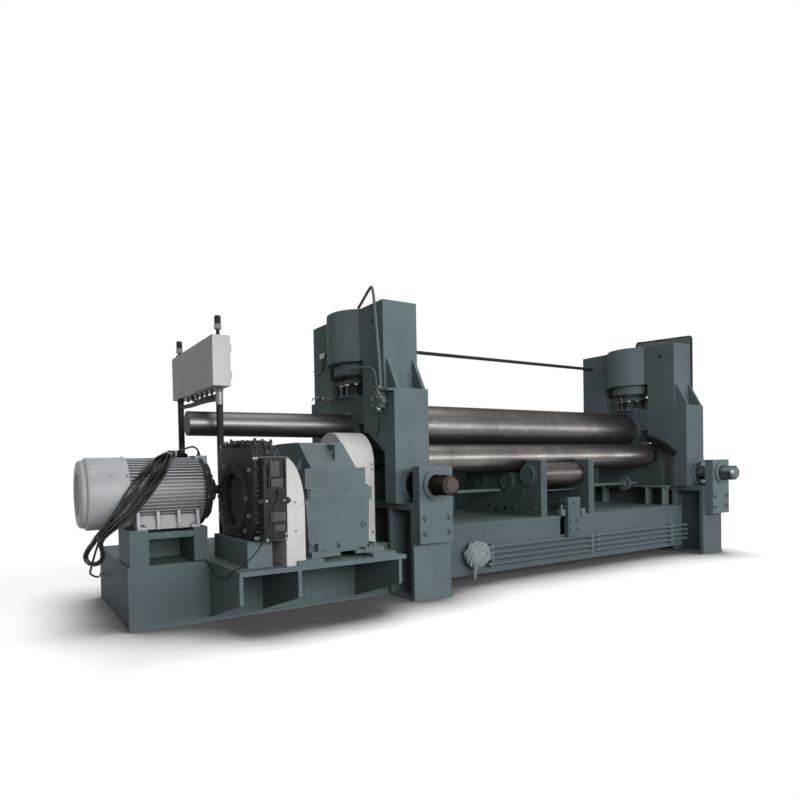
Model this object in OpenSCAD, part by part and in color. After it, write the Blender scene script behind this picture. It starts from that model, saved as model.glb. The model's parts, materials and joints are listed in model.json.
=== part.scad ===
// Plate rolling machine with an upper roll that presses down and shifts sideways over two driven lower rolls.
// X runs along the rolls, with the drive end at -X. Y runs across the machine, with the working side at -Y.
// The origin is on the floor, in the middle of the four anchor holes of the two legs.

/* [Base] */
// Distance between the centre lines of the two legs
leg_span = 4200; // [3800:10:4800]
// Width of a leg along the rolls
leg_w = 387; // [340:1:440]
// Length of a leg across the machine
leg_len = 2020; // [1900:10:2200]
// Height of a leg
leg_h = 815; // [760:5:880]
// Thickness of the top plate of a leg
leg_top_t = 55; // [40:1:70]
// Thickness of the standing plates of a leg
leg_plate_t = 40; // [25:1:60]
// Thickness of the foot plate of a leg
foot_t = 25; // [20:1:40]
// Radius of an anchor hole in the foot plate
anchor_r = 21; // [15:1:30]
// Distance of the anchor holes from the ends of a leg
anchor_inset = 130; // [110:5:200]
// Distance from the middle of the machine to the front face of a long beam
beam_front = 730; // [680:5:800]
// Height of the top of the beams and of the bed plate
bed_h = 576; // [520:1:640]
// Height of the lower edge of a beam above the floor
beam_low = 89; // [60:1:140]
// Thickness of the beam and bed plates
beam_t = 28; // [20:1:40]

/* [Frames] */
// Sideways offset of the rolls and frames from the middle of the legs
roll_x = -80; // [-120:5:0]
// Width of a portal frame along the rolls
frame_w = 353; // [300:1:400]
// Height of the top of the portal frames above the floor
frame_top = 2580; // [2450:10:2750]
// Distance from the middle of a frame to the front of its lower column
column_front = 849; // [800:1:890]
// Distance from the middle of a frame to the back of its lower column
column_back = 773; // [760:1:890]
// Distance from the middle of a frame to the front of its upper column
column_top = 691; // [640:1:740]
// Height of the ledge where the columns step back
ledge_h = 1800; // [1720:5:1900]
// Half width of the opening between the columns
portal_half = 680; // [650:1:700]
// Height where the opening between the columns starts to narrow
portal_h = 1262; // [1220:1:1320]
// Height of the foot of the guide slot
slot_h = 1445; // [1420:1:1480]
// Half width of the guide slot for the chock
slot_half = 325; // [300:1:350]
// Height of the underside of the press cylinder
cylinder_low = 2110; // [2060:5:2200]
// Outer radius of the press cylinder housing
cylinder_r = 330; // [280:1:360]
// Downward travel of the upper roll
lift_travel = 70; // [20:5:70]

/* [Rolls] */
// Distance from the end of a roll's barrel to the middle of a portal frame
neck_len = 290; // [260:5:400]
// Radius of the upper roll
upper_r = 228; // [190:1:230]
// Height of the axis of the upper roll
upper_h = 1522; // [1515:1:1560]
// Radius of the upper roll's journal in the chock
upper_neck_r = 130; // [110:1:140]
// Radius of the upper roll's tail at the frame
tail_r = 114; // [95:1:115]
// Radius of the upper roll's tail at its free end
tail_end_r = 103; // [80:1:110]
// Length of the tail beyond the drive side frame
tail_len = 1510; // [1300:10:1560]
// Radius of a lower roll
lower_r = 144.5; // [130:0.5:146]
// Height of the axes of the lower rolls
lower_h = 1193; // [1185:1:1196]
// Distance between the axes of the two lower rolls
lower_pitch = 670; // [650:5:700]
// Radius of a lower roll's journal
lower_neck_r = 90; // [70:1:100]
// Radius of a support roll
support_r = 125; // [100:1:126]
// Radius of a support roll's journal
support_neck_r = 50; // [35:1:60]
// Distance between the middles of the two support plates
support_span = 730; // [600:5:800]
// Thickness of a support plate
support_t = 85; // [60:1:100]

/* [Drive] */
// Height of the drive deck above the floor
deck_h = 457.5; // [420:0.5:480]
// Thickness of the deck plate
deck_t = 30; // [20:1:40]
// Distance from the middle of the machine to the front edge of the deck
deck_front = 1310; // [1200:5:1400]
// Distance from the middle of the machine to the back of the drive base
drive_back = 862; // [800:1:950]
// Length of the motor pedestal along the machine
pedestal_len = 562; // [500:1:640]
// Radius of the motor's fan cowl
motor_r = 260; // [220:1:280]
// Height of the motor's axis above its stand
motor_rise = 263.5; // [262:0.5:290]
// Distance from the middle of the machine to the motor's axis
motor_y = 370; // [340:5:380]
// Distance from the middle of the machine to the axis of the bell housing
bell_y = 800; // [780:5:820]
// Height of the axis of the bell housing above the deck
bell_rise = 459.5; // [445:0.5:475]
// Radius of the mouth of the bell housing
mouth_r = 219; // [190:1:225]
// Radius of the gear guards
gear_guard_r = 272; // [240:1:272]

/* [Hidden] */
$fn = 64;

// Colours
paint = "#5b686c";
dark_paint = "#414d52";
guard_grey = "#c8c8c8";
motor_grey = "#9fa3a6";
soot = "#2e2e2e";
roll_steel = "#6a625e";
bright_steel = "#b4b4b4";

// Clearances
slide_gap = 0.3;     // between a frame and the legs that it slides on
guide_gap = 5;       // between a chock and its guide slot, each side
run_gap = 0.1;       // between a journal and its bore
rod_gap = 5;         // between a screw rod and its bracket
roll_gap = 2;        // between a lower roll and its support rolls

// Worked out places
leg_x = [-leg_span / 2, leg_span / 2];
frame_span = leg_span;                        // each portal frame stands on its leg
frame_x = [roll_x - frame_span / 2, roll_x + frame_span / 2];
roll_len = frame_span - 2 * neck_len;
beam_len = leg_span - leg_w;
frame_foot = leg_h + slide_gap;
lower_y = lower_pitch / 2;
lower_stub = neck_len + 480;                  // lower journal from the barrel to its driven end
seat_r = lower_neck_r + 70;
chock_r = upper_neck_r + 60;
chock_top = upper_h + 268;
lift_up = 20;                                 // upward travel of the upper roll
neck_t = 115;                                 // neck of the press cylinder below its housing
neck_r = 240;
neck_ring_r = 266;
neck_ring_t = 78;
piston_rod_r = 150;
piston_r = 226;
piston_t = 60;
piston_low = cylinder_low + 10 + lift_travel;
clamp_r = 226;                                // ring on the piston rod that the studs hold down
clamp_t = 24;
clamp_low = chock_top + 130;
drive_x1 = leg_x[0] - leg_w / 2 - slide_gap;  // drive base meets the leg
drive_len = 2156;
pedestal_x0 = drive_x1 - drive_len;
pedestal_x1 = pedestal_x0 + pedestal_len;
deck_x1 = drive_x1 - 280;                     // right end of the deck's front part
pipes_x0 = -beam_len / 2 + 668.5;             // left ends of the beam pipes
web_front = 600;
pedestal_front = web_front + 15;
base_t = 20;
stand_h = 257;
stand_top = deck_h + stand_h;
motor_h = stand_top + motor_rise;
bell_h = deck_h + bell_rise;
bracket_w = 340;
bracket_t = 95;
bracket_low = leg_h - 325;
bracket_high = leg_h + 315;
rod_r = 84;
rod_chamfer = 26;
rod_proud = [235, 185];                        // how far each screw stands out of its bracket
rod_h = leg_h + 157;
rod_x = [leg_x[0] - leg_w / 2 + 162, leg_x[1] + leg_w / 2 - 162];
support_x = [roll_x - support_span / 2, roll_x + support_span / 2];
support_reach = lower_r + support_r + roll_gap;
outer_angle = 222.5;
inner_angle = 294.2;

// A point on the drawing of the YZ plane becomes a prism of the given length along +X
module along_x(length) {
    rotate([90, 0, 90]) linear_extrude(length) children();
}

// A cylinder along +X from the current place
module bar_x(length, r) {
    rotate([0, 90, 0]) cylinder(h = length, r = r);
}

// A cylinder along +Y from the current place
module bar_y(length, r) {
    rotate([-90, 0, 0]) cylinder(h = length, r = r);
}

// A point on the drawing of the XZ plane becomes a prism of the given length towards -Y
module along_y(length) {
    rotate([90, 0, 0]) linear_extrude(length) children();
}

// The same piece at the front and, mirrored, at the back
module front_and_back() {
    children();
    mirror([0, 1, 0]) children();
}

foot_edge = 18;       // how far the foot plate stands out on the side away from the drive

// Leg: foot plate, top plate, end plates, a middle web and cross plates, open between them
module leg() {
    web_h = leg_h - leg_top_t;
    difference() {
        union() {
            translate([-leg_w / 2, -leg_len / 2, 0]) cube([leg_w + foot_edge, leg_len, foot_t]);
            translate([-leg_w / 2, -leg_len / 2, web_h]) cube([leg_w, leg_len, leg_top_t]);
            translate([-leg_plate_t / 2, -leg_len / 2, 0]) cube([leg_plate_t, leg_len, leg_h]);
            front_and_back() {
                translate([-leg_w / 2, -leg_len / 2, 0]) cube([leg_w, leg_plate_t, leg_h]);
                translate([-leg_w / 2, -beam_front + 80, 0]) cube([leg_w, leg_plate_t, leg_h]);
            }
        }
        for (side = [-1, 1]) for (end = [-1, 1])
            translate([side * (leg_w / 4 + leg_plate_t / 4), end * (leg_len / 2 - anchor_inset), -1])
                cylinder(h = foot_t + 2, r = anchor_r);
    }
}

module drive_side_leg() { color(paint) translate([leg_x[0], 0, 0]) leg(); }
module far_side_leg() { color(paint) translate([leg_x[1], 0, 0]) leg(); }

// Long beam between the legs: a face plate with a flange at its top and foot
module beam() {
    translate([-beam_len / 2, -beam_front, beam_low]) cube([beam_len, beam_t, bed_h - beam_low]);
    translate([-beam_len / 2, -beam_front - 12, bed_h - beam_t]) cube([beam_len, beam_t + 60, beam_t]);
    translate([-beam_len / 2, -beam_front, beam_low]) cube([beam_len, beam_t + 90, beam_t]);
}

// Smooth point between route points b and c, at t from 0 to 1, with their neighbours a and d
function smooth(a, b, c, d, t) =
    0.5 * (2 * b + (c - a) * t + (2 * a - 5 * b + 4 * c - d) * pow(t, 2)
        + (3 * b - a - 3 * c + d) * pow(t, 3));

// A route with more points on the same smooth curve
function finer(route, steps) = concat([for (i = [0:len(route) - 2]) for (k = [0:steps - 1])
    smooth(route[max(0, i - 1)], route[i], route[i + 1], route[min(len(route) - 1, i + 2)], k / steps)],
    [route[len(route) - 1]]);

function unit(v) = v / norm(v);
function heading(route, i) = unit(route[min(len(route) - 1, i + 1)] - route[max(0, i - 1)]);

// Rings of points, one after another, closed by a flat cap at each end
module ring_body(rings) {
    n = len(rings[0]);
    last = len(rings) - 1;
    points = [for (ring = rings) for (p = ring) p];
    sides = [for (i = [0:last - 1]) for (j = [0:n - 1]) for (half = [0, 1])
        half == 0 ? [i * n + j, i * n + (j + 1) % n, (i + 1) * n + (j + 1) % n]
            : [i * n + j, (i + 1) * n + (j + 1) % n, (i + 1) * n + j]];
    first_cap = [[for (j = [0:n - 1]) n - 1 - j]];
    last_cap = [[for (j = [0:n - 1]) last * n + j]];
    polyhedron(points, concat(sides, first_cap, last_cap));
}

// A round tube that follows a smooth route. The side direction is never along the route
module tube(route, r, side, steps = 4, n = 10) {
    line = finer(route, steps);
    ring_body([for (i = [0:len(line) - 1])
        let (d = heading(line, i), a = unit(cross(d, side)), b = cross(a, d))
        [for (k = [0:n - 1]) line[i] + r * (cos(360 * k / n) * a + sin(360 * k / n) * b)]]);
}

module beam_with_notch() {
    difference() {
        beam();
        translate([roll_x - 156, -beam_front - 20, 374]) cube([312, 150, bed_h]);
    }
}

module front_beam() { color(paint) beam_with_notch(); }
module rear_beam() { color(paint) mirror([0, 1, 0]) beam_with_notch(); }

module bed_plate() {
    inner = beam_front - beam_t - 60 + 12;
    color(dark_paint) translate([-beam_len / 2, -inner, bed_h - beam_t]) cube([beam_len, 2 * inner, beam_t]);
}

// Front plates that carry the nuts of the shifting screws
module screw_brackets() {
    color(paint) for (side = [0, 1])
        translate([rod_x[side] - (side == 0 ? 162 : bracket_w - 162), -leg_len / 2 - bracket_t, bracket_low])
            difference() {
                union() {
                    cube([bracket_w, bracket_t, bracket_high - bracket_low]);
                    translate([side == 0 ? 162 : bracket_w - 162, -20, rod_h - bracket_low])
                        bar_y(25, rod_r + 45);
                }
                translate([side == 0 ? 162 : bracket_w - 162, -30, rod_h - bracket_low])
                    bar_y(bracket_t + 60, rod_r + rod_gap);
            }
}

// Bearing blocks of the lower rolls, one block on each leg
module bearing_seats() {
    seat_w = 240;
    color(dark_paint) for (x = [frame_x[0] + 20 - seat_w / 2 + 50, frame_x[1] - seat_w / 2])
        translate([x, 0, leg_h]) difference() {
            union() {
                translate([0, -lower_y - seat_r, 0])
                    cube([seat_w, 2 * (lower_y + seat_r), lower_h - leg_h - 60]);
                for (y = [-lower_y, lower_y]) translate([0, y, lower_h - leg_h]) {
                    bar_x(seat_w, seat_r);
                    translate([0, -seat_r, -seat_r]) cube([seat_w, 2 * seat_r, seat_r]);
                }
            }
            for (y = [-lower_y, lower_y]) translate([-1, y, lower_h - leg_h])
                bar_x(seat_w + 2, lower_neck_r + run_gap);
        }
}

function on_support(angle, side) =
    [side * (lower_y - cos(angle) * support_reach), lower_h + sin(angle) * support_reach];
support_axes = [on_support(outer_angle, -1), on_support(inner_angle, -1),
    on_support(inner_angle, 1), on_support(outer_angle, 1)];

// Standing plates that carry the support rolls, with round caps over the journals
module support_plates() {
    cap_t = 22;
    cap_r = support_r - 21;
    rim_t = 8;
    rim_r = support_r - 5;
    half = beam_front - 20;
    plate_top = lower_h - 33;
    land = 60;
    color(dark_paint) for (side = [0, 1])
        translate([support_x[side] - support_t / 2, 0, 0]) {
            difference() {
                along_x(support_t) difference() {
                    polygon([[-half, bed_h], [half, bed_h], [half, plate_top], [half - land, plate_top + 3],
                        [-half + land, plate_top + 3], [-half, plate_top]]);
                    for (y = [-lower_y, lower_y]) {
                        translate([y, lower_h]) circle(r = lower_r + 25);
                        translate([y, plate_top]) square([2 * lower_r, 40], center = true);
                    }
                    translate([-180, plate_top - 100]) square([360, 200]);
                }
                for (axis = support_axes) translate([-1, axis[0], axis[1]])
                    bar_x(support_t + 2, support_neck_r + run_gap);
            }
            for (axis = support_axes) {
                translate([side == 0 ? -rim_t : support_t, axis[0], axis[1]]) bar_x(rim_t, rim_r);
                translate([side == 0 ? -cap_t : support_t, axis[0], axis[1]]) bar_x(cap_t, cap_r);
            }
        }
    color(dark_paint) front_and_back() translate([support_x[0] + support_t / 2, -494, bed_h + 257])
        bar_x(support_span - support_t, 8);
}

// Plates and screws that set the support rolls, in the middle of each beam
module centre_brackets() {
    color(paint) front_and_back() translate([roll_x, -beam_front, 0]) {
        translate([-92, -57, bed_h - 221]) cube([184, 57, 410]);
        translate([0, 0, bed_h + 114]) bar_y(300, 26);
        translate([0, 60, bed_h + 114]) bar_y(60, 50);
    }
}

// Shaft that ties the settings of the support rolls together
module sync_shaft() {
    shaft_y = -100;
    shaft_h = bed_h + 266;
    far_len = frame_x[1] - 120 - support_x[1] - support_t / 2;
    color(bright_steel) translate([frame_x[0] + 190, shaft_y, shaft_h])
        bar_x(support_x[0] - support_t / 2 - frame_x[0] - 190, 17);
    color(bright_steel) translate([support_x[1] + support_t / 2, shaft_y, shaft_h]) {
        bar_x(far_len, 17);
        translate([far_len - 292.5, 0, 0]) bar_x(140, 30);
        translate([far_len - 242.5, 0, 0]) bar_x(30, 88);
    }
}

// Oil pipes along the front beam with their clamps
module beam_pipes() {
    color(paint) {
        for (i = [0:3]) translate([pipes_x0, -beam_front - 35, bed_h - 241 - 54 * i])
            bar_x(beam_len / 2 - pipes_x0 + 60, 16);
        for (x = [pipes_x0, beam_len / 2 - 288.5])
            translate([x, -beam_front - 55, bed_h - 431]) cube([30, 55, 218]);
    }
}

// Wrapping over the capped ends of the pipes: each lump is a place from there and from the bed
module pipe_wrap() {
    lump_r = 52;
    lumps = [[-282, -286], [-252, -236], [-147, -224], [-67, -271], [-92, -344], [-182, -364], [-252, -340]];
    color(bright_steel) hull() for (p = lumps)
        translate([pipes_x0 + p[0], -beam_front + 0.6 - lump_r, bed_h + p[1]]) sphere(r = lump_r, $fn = 18);
}

module motor_pedestal() {
    width = pedestal_front + drive_back;
    color(paint) translate([pedestal_x0, -pedestal_front, 0]) {
        translate([0, -10, 0]) cube([pedestal_len, width + 10, base_t]);
        cube([pedestal_len, width, deck_h - 20]);
        translate([-6, -6, deck_h - 20]) cube([pedestal_len + 6, width + 6, 20]);
    }
}

// Deck beside the pedestal, carried in front of the web by tapered ribs
module drive_deck() {
    rib_t = 25;
    color(paint) {
        translate([pedestal_x1, -deck_front, deck_h - deck_t])
            cube([deck_x1 - pedestal_x1, deck_front + drive_back, deck_t]);
        translate([deck_x1, -web_front, deck_h - deck_t])
            cube([drive_x1 - deck_x1, web_front + drive_back, deck_t]);
        translate([pedestal_x1, -web_front, 0]) cube([drive_x1 - pedestal_x1, 20, deck_h]);
        translate([pedestal_x1, drive_back - 20, 0]) cube([drive_x1 - pedestal_x1, 20, deck_h]);
        translate([pedestal_x1, -web_front - 20, 0]) cube([drive_x1 - pedestal_x1, 120, base_t]);
        translate([pedestal_x1, drive_back - 100, 0]) cube([drive_x1 - pedestal_x1, 110, base_t]);
        for (x = [pedestal_x1, pedestal_x1 + 420, deck_x1 - 62])
            translate([x, 0, 0]) along_x(rib_t)
                polygon([[-web_front, 30], [-web_front, deck_h - deck_t], [-deck_front + 10, deck_h - deck_t],
                    [-deck_front + 10, 240]]);
    }
}

module motor_stand() {
    post_w = [127, 100];
    post_x = [pedestal_x0 + 10, pedestal_x1 - 104];
    bar_low = 190;
    bar_t = 45;
    color(paint) for (i = [0, 1])
        translate([post_x[i], -pedestal_front + 5, deck_h]) cube([post_w[i], 480, stand_h]);
    color(paint) translate([post_x[0] + post_w[0], -pedestal_front + 5, deck_h + bar_low])
        cube([post_x[1] - post_x[0] - post_w[0], 20, bar_t]);
}

// Radial fin outline: a flat tip and a flat valley in turn
function fin_outline(count, valley, tip, half_t) = [for (i = [0:count - 1]) for (k = [0:3])
    let (r = (k == 0 || k == 3) ? valley : tip, lean = asin(half_t / r), a = 360 * i / count)
    [r * cos(a + (k < 2 ? -lean : lean)), r * sin(a + (k < 2 ? -lean : lean))]];

module motor() {
    body_len = 522;
    shield_r = 220;
    shield_t = 44;
    foot_len = 440;
    foot_t = 30;
    rib_t = 22;
    color(motor_grey) translate([motor_x, -motor_y, 0]) {
        translate([0, 0, motor_h]) {
            along_x(body_len) polygon(fin_outline(60, motor_r - 22, motor_r - 5, 3.5));
            translate([body_len, 0, 0]) bar_x(24, motor_r - 18);
            translate([body_len + 24, 0, 0]) bar_x(shield_t, shield_r);
            translate([body_len - 28, -90, 0]) cube([92, 180, motor_r + 7]);
        }
        translate([40, 0, 0]) along_x(foot_len)
            polygon([[-215, stand_top], [-215, stand_top + foot_t], [-190, stand_top + 100],
                [190, stand_top + 100], [215, stand_top + foot_t], [215, stand_top]]);
        for (x = [40, 176, 322, 40 + foot_len - rib_t])
            translate([x, 0, 0]) along_x(rib_t)
                polygon([[-235, stand_top], [-235, stand_top + foot_t], [-222, stand_top + 130],
                    [222, stand_top + 130], [235, stand_top + foot_t], [235, stand_top]]);
    }
}

module fan_cowl() {
    color(motor_grey) translate([pedestal_x0 - 294, -motor_y, motor_h])
        rotate([0, 90, 0]) rotate_extrude()
            polygon([[0, 0], [185, 0], [225, 14], [248, 42], [motor_r, 85], [motor_r, 317.7], [0, 317.7]]);
}

module motor_coupling() {
    shaft_x = motor_x + 590;
    color(soot) translate([shaft_x, -motor_y, motor_h]) {
        bar_x(reducer_x0 - shaft_x, 35);
        bar_x(65, 85);
    }
}

bell_x = pedestal_x1 + 124;
gear_unit_x1 = pedestal_x1 + 353.7;
gear_unit_front = -1190;
gear_unit_back = -410;
gear_unit_low = deck_h + 178.5;
gear_unit_top = bell_h + 404;
rail_t = 30;
box_low = deck_h + 1340.5;
box_h = 400;
motor_x = pedestal_x0 + 24;
guard_x = pedestal_x1 + 354;
guard_w = 142.4;
guard_y = -891;
guard_h = deck_h + 397.5;
guard_r = 369;
bell_t = 26;
bell_rim_r = mouth_r + 42;
reducer_front = -1160;
reducer_depth = 1350;
flange_t = 50;
case_h = 398;                                 // from the rails to the split flange
reducer_x0 = pedestal_x1 + 549;
reducer_w = 538;
reducer_x1 = reducer_x0 + reducer_w;
rail_x = [reducer_x0 - 120, reducer_x1 - 50];

module bell_housing() {
    color(soot) translate([bell_x, -bell_y, bell_h]) difference() {
        union() {
            bar_x(bell_t, bell_rim_r);
            bar_x(10, bell_rim_r - 14);
        }
        translate([-1, 0, 0]) bar_x(bell_t + 2, mouth_r);
    }
}

// Cast gear unit behind the bell housing, with a hollow mouth, a shoulder and a front cover
module gear_unit() {
    case_x = bell_x + bell_t;
    case_len = gear_unit_x1 - case_x;
    case_w = (gear_unit_back - gear_unit_front) / 2;
    low = gear_unit_low - bell_h;
    high = gear_unit_top - bell_h;
    mouth_depth = 120;
    cover_front = -1285;
    cover_x = case_x + 38;
    cover_top = bell_h + 294;
    plate_t = 8;
    color(soot) difference() {
        union() {
            intersection() {
                translate([case_x, -bell_y, bell_h]) along_x(case_len)
                    polygon([[-case_w, -150], [-300, low], [300, low], [case_w, -150], [case_w, high - 74],
                        [case_w - 60, high], [-case_w + 60, high], [-case_w, high - 74]]);
                translate([0, gear_unit_back + 1, 0]) along_y(2 * case_w + 2)
                    polygon([[case_x, gear_unit_low], [case_x, gear_unit_top], [case_x + 146, gear_unit_top],
                        [gear_unit_x1, gear_unit_top - 100], [gear_unit_x1, gear_unit_low]]);
            }
            translate([cover_x, cover_front, gear_unit_low + 10])
                cube([gear_unit_x1 - cover_x, 120, cover_top - gear_unit_low - 10]);
            translate([cover_x, cover_front - plate_t, cover_top - 6])
                cube([gear_unit_x1 - cover_x, 120, 12]);
            translate([cover_x + 83, cover_front - plate_t, bell_h + 90]) cube([58, 20, 58]);
            translate([cover_x + 78, cover_front - plate_t, bell_h - 149]) cube([64, 20, 69]);
            translate([cover_x + 60, cover_front - plate_t, gear_unit_low + 14]) cube([90, 20, 90]);
            for (rise = [63, 133, 203])
                translate([case_x + 4, gear_unit_front - 26, bell_h + rise]) cube([40, 40, 14]);
            translate([case_x + 10, -bell_y - 60, gear_unit_top - 10]) cube([90, 120, 34]);
            translate([case_x - 90, -bell_y, gear_unit_top - 14]) bar_x(110, 13);
        }
        translate([case_x - 1, -bell_y, bell_h]) bar_x(mouth_depth + 1, mouth_r);
        translate([cover_x + 22, cover_front - 20, bell_h + 83]) cube([14, 50, 190]);
        translate([gear_unit_x1 - 24, cover_front - 20, bell_h + 83]) cube([12, 50, 190]);
    }
}

module gear_unit_support() {
    box_w = 177;
    color(paint) translate([bell_x - 22, gear_unit_front + 10, deck_h])
        cube([box_w, gear_unit_back - gear_unit_front - 20, gear_unit_low - deck_h - 0.5]);
}

module arch(r, side_h) {
    translate([-r, -side_h]) square([2 * r, side_h]);
    circle(r = r);
}

module coupling_guard() {
    rail_gap = 1.3;
    color(guard_grey) translate([guard_x, guard_y, guard_h]) difference() {
        along_x(guard_w) arch(guard_r, guard_h - deck_h);
        translate([rail_x[0] - guard_x - rail_gap, -500, deck_h - guard_h - 1])
            cube([guard_w, 1000, rail_t + 1 + rail_gap]);
    }
}

module reducer_rails() {
    color(paint) for (x = rail_x)
        translate([x, -deck_front + 30, deck_h]) cube([200, 1500, rail_t]);
}

// Split flange of the reducer, with its corners cut off
module reducer_flange() {
    cut = 20;
    x0 = 25;
    x1 = reducer_w + 29;
    linear_extrude(flange_t) polygon([[x0 + cut, 0], [x1 - cut, 0], [x1, cut], [x1, reducer_depth - cut],
        [x1 - cut, reducer_depth], [x0 + cut, reducer_depth], [x0, reducer_depth - cut], [x0, cut]]);
}

module reducer_case() {
    clear = 18;
    foot_y = [-60, reducer_depth - 140];
    color(paint) translate([reducer_x0, reducer_front, deck_h + rail_t]) {
        translate([0, reducer_depth - 10, 0]) along_y(reducer_depth - 20)
            polygon([[30, clear], [8, case_h], [8, case_h + 20], [reducer_w, case_h + 20], [reducer_w, case_h],
                [reducer_w - 12, clear]]);
        for (y = foot_y) {
            translate([14, y, 0]) cube([150, 200, 40]);
            translate([reducer_w - 80, y, 0]) cube([160, 200, 40]);
            translate([14 + 60, y + 20, 0]) cube([22, 160, 95]);
            translate([reducer_w + 8, y + 20, 0]) cube([22, 160, 70]);
        }
        translate([0, 0, case_h]) reducer_flange();
    }
}

module reducer_cover() {
    z0 = deck_h + rail_t + case_h + flange_t;
    box_top = 195;
    hopper_top = 390;
    corner = 60;
    slope_front = reducer_front + 230;
    color(paint) translate([reducer_x0, reducer_front, z0]) {
        reducer_flange();
        translate([5, 10, flange_t]) linear_extrude(box_top - flange_t) union() {
            square([reducer_w - 10 - corner, reducer_depth - 20]);
            translate([0, corner]) square([reducer_w - 10, reducer_depth - 20 - corner]);
            translate([reducer_w - 10 - corner, corner]) circle(r = corner);
        }
    }
    color(paint) translate([reducer_x0 + 60, 0, z0]) {
        along_x(reducer_w - 165)
            polygon([[reducer_front + 10, box_top - 5], [slope_front, hopper_top], [-130, hopper_top],
                [reducer_front + reducer_depth - 110, box_top - 5]]);
        translate([70, -700, hopper_top - 1]) cube([190, 380, 12]);
        translate([0, slope_front - 20, box_top - 5]) along_y(20) polygon([[1, 0], [-45, 0], [1, 97]]);
        translate([220, 0, 0]) along_x(19) difference() {
            polygon([[slope_front - 5, 378], [slope_front - 165, 371], [slope_front - 165, 228],
                [slope_front - 5, 228]]);
            translate([slope_front - 110, 320]) circle(r = 20);
        }
    }
}

module gear_guards() {
    rail_top = deck_h + rail_t + slide_gap;
    guard_len = 290;
    step = 98;
    split_h = lower_h - 58;
    front_h = lower_h - 25;
    rear_r = 160;
    color(guard_grey) translate([drive_x1 - guard_len - 130, 0, 0]) difference() {
        union() {
            translate([0, -lower_y, front_h]) along_x(guard_len) arch(gear_guard_r, front_h - split_h);
            translate([step, -lower_y, front_h]) along_x(guard_len - step) arch(gear_guard_r, front_h - deck_h);
            translate([0, lower_y, lower_h]) along_x(guard_len) arch(rear_r, lower_h - rail_top);
        }
        for (y = [-lower_y, lower_y])
            translate([guard_len + 130 - drive_x1 + roll_x - roll_len / 2 - lower_stub - 6, y, lower_h])
                bar_x(roll_len, lower_neck_r + 6);
    }
}

module control_box() {
    color("#b0b0b0") translate([pedestal_x1 + 126, -410, box_low]) cube([144, 1315, box_h]);
}

// Two posts under the control box and the two short stubs on top of it
module box_posts() {
    post_r = 28;
    stub_r = 15;
    cap_r = 22;
    color(soot) for (p = [[pedestal_x1 + 228, -230, 190], [pedestal_x1 + 158, 740, 145]]) {
        translate([p[0], p[1], deck_h]) cylinder(h = box_low - deck_h, r = post_r);
        translate([p[0], p[1], box_low + box_h]) {
            cylinder(h = p[2], r = stub_r);
            translate([0, 0, p[2] - 60]) cylinder(h = 60, r = cap_r);
        }
    }
}

// Hank of motor cable, laid over the motor and hanging down its front.
// Each station gives its place along the motor, its way round the motor from the top, and its half width
hank_stations = [[463, -146, 22], [454, -134, 44], [440, -116, 61], [422, -92, 69], [394, -57, 66],
    [368, -24, 50], [346, 2, 38], [308, 57, 50], [256, 137, 66], [188, 235, 76], [114, 333, 78],
    [34, 431, 74], [-52, 529, 62], [-134, 616, 46], [-198, 684, 34], [-224, 722, 36], [-235, 757, 50],
    [-243, 798, 66], [-250, 830, 68], [-256, 856, 58], [-260, 874, 42], [-263, 886, 20]];
hank_t = 50;
hank_gap = 0.9;

// A place on the hank: along the machine, way round the motor, and distance off the motor's skin
function on_motor(x, way, off) = let (r = motor_r + hank_gap + off, quarter = motor_r * PI / 2)
    way < quarter
        ? [x, -motor_y - r * sin(way / motor_r * 180 / PI), motor_h + r * cos(way / motor_r * 180 / PI)]
        : [x, -motor_y - r, motor_h - way + quarter];

module cable_hank() {
    n = 12;
    stations = finer(hank_stations, 3);
    places = [for (s = stations) [s[0], s[1]]];
    color(soot) translate([motor_x, 0, 0]) ring_body([for (i = [0:len(stations) - 1])
        let (s = stations[i], d = heading(places, i))
        [for (k = [0:n - 1])
            let (c = cos(360 * k / n), w = sin(360 * k / n),
                t = s[2] * sign(c) * pow(abs(c), 0.6), off = hank_t / 2 * (1 + sign(w) * pow(abs(w), 0.6)))
            on_motor(s[0] + t * d[1], s[1] - t * d[0], off)]]);
}

// Cable from the foot of the hank to a gland in the end of the motor pedestal: places from the motor and deck
cable_r = 7.5;
lead_route = [[-264, -655, 40.5], [-272, -644, 12.5], [-266, -570, -15.5], [-242, -400, -49.5],
    [-204, -200, -93.5], [-159, 0, -135.5], [-119, 220, -169.5], [-82, 420, -193.5], [-56, 560, -207.5],
    [-48, 651, -210.5]];

module cable_lead() {
    gland_r = 15;
    gland_len = 24;
    color(soot) translate([pedestal_x0 - slide_gap, 651, deck_h - 210.5]) rotate([0, -90, 0])
        cylinder(h = gland_len, r = gland_r);
    color(soot) translate([motor_x, 0, deck_h]) tube(lead_route, cable_r, [0, 0, 1], 4, 8);
}

// Thin cable from the gear unit to the motor stand: places from the motor and deck
sensor_r = 4.5;
sensor_route = [[826, -1300, 516.5], [822, -1310, 492.5], [798, -1325, 422.5], [758, -1330, 322.5],
    [714, -1325, 222.5], [664, -1300, 132.5], [611, -1255, 62.5], [574, -1230, 24.5], [550, -1212, 9.5],
    [537, -1198, 6.5], [530, -1186, -5.5], [524, -1164, -29.5], [517, -1105, -65.5], [512, -1020, -79.5],
    [510, -920, -77.5], [510, -820, -61.5], [511, -720, -31.5], [512, -655, -3.5], [508, -622, 8.5],
    [491, -616, 5.5], [461, -616, 5.5], [434, -616, 5.5], [420, -606, 5.5], [418, -585, 5.5],
    [423, -560, 5.5]];

module sensor_cable() {
    color(soot) translate([motor_x, 0, deck_h]) tube(sensor_route, sensor_r, [0.35, -0.2, 0.9], 3, 8);
}

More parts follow.
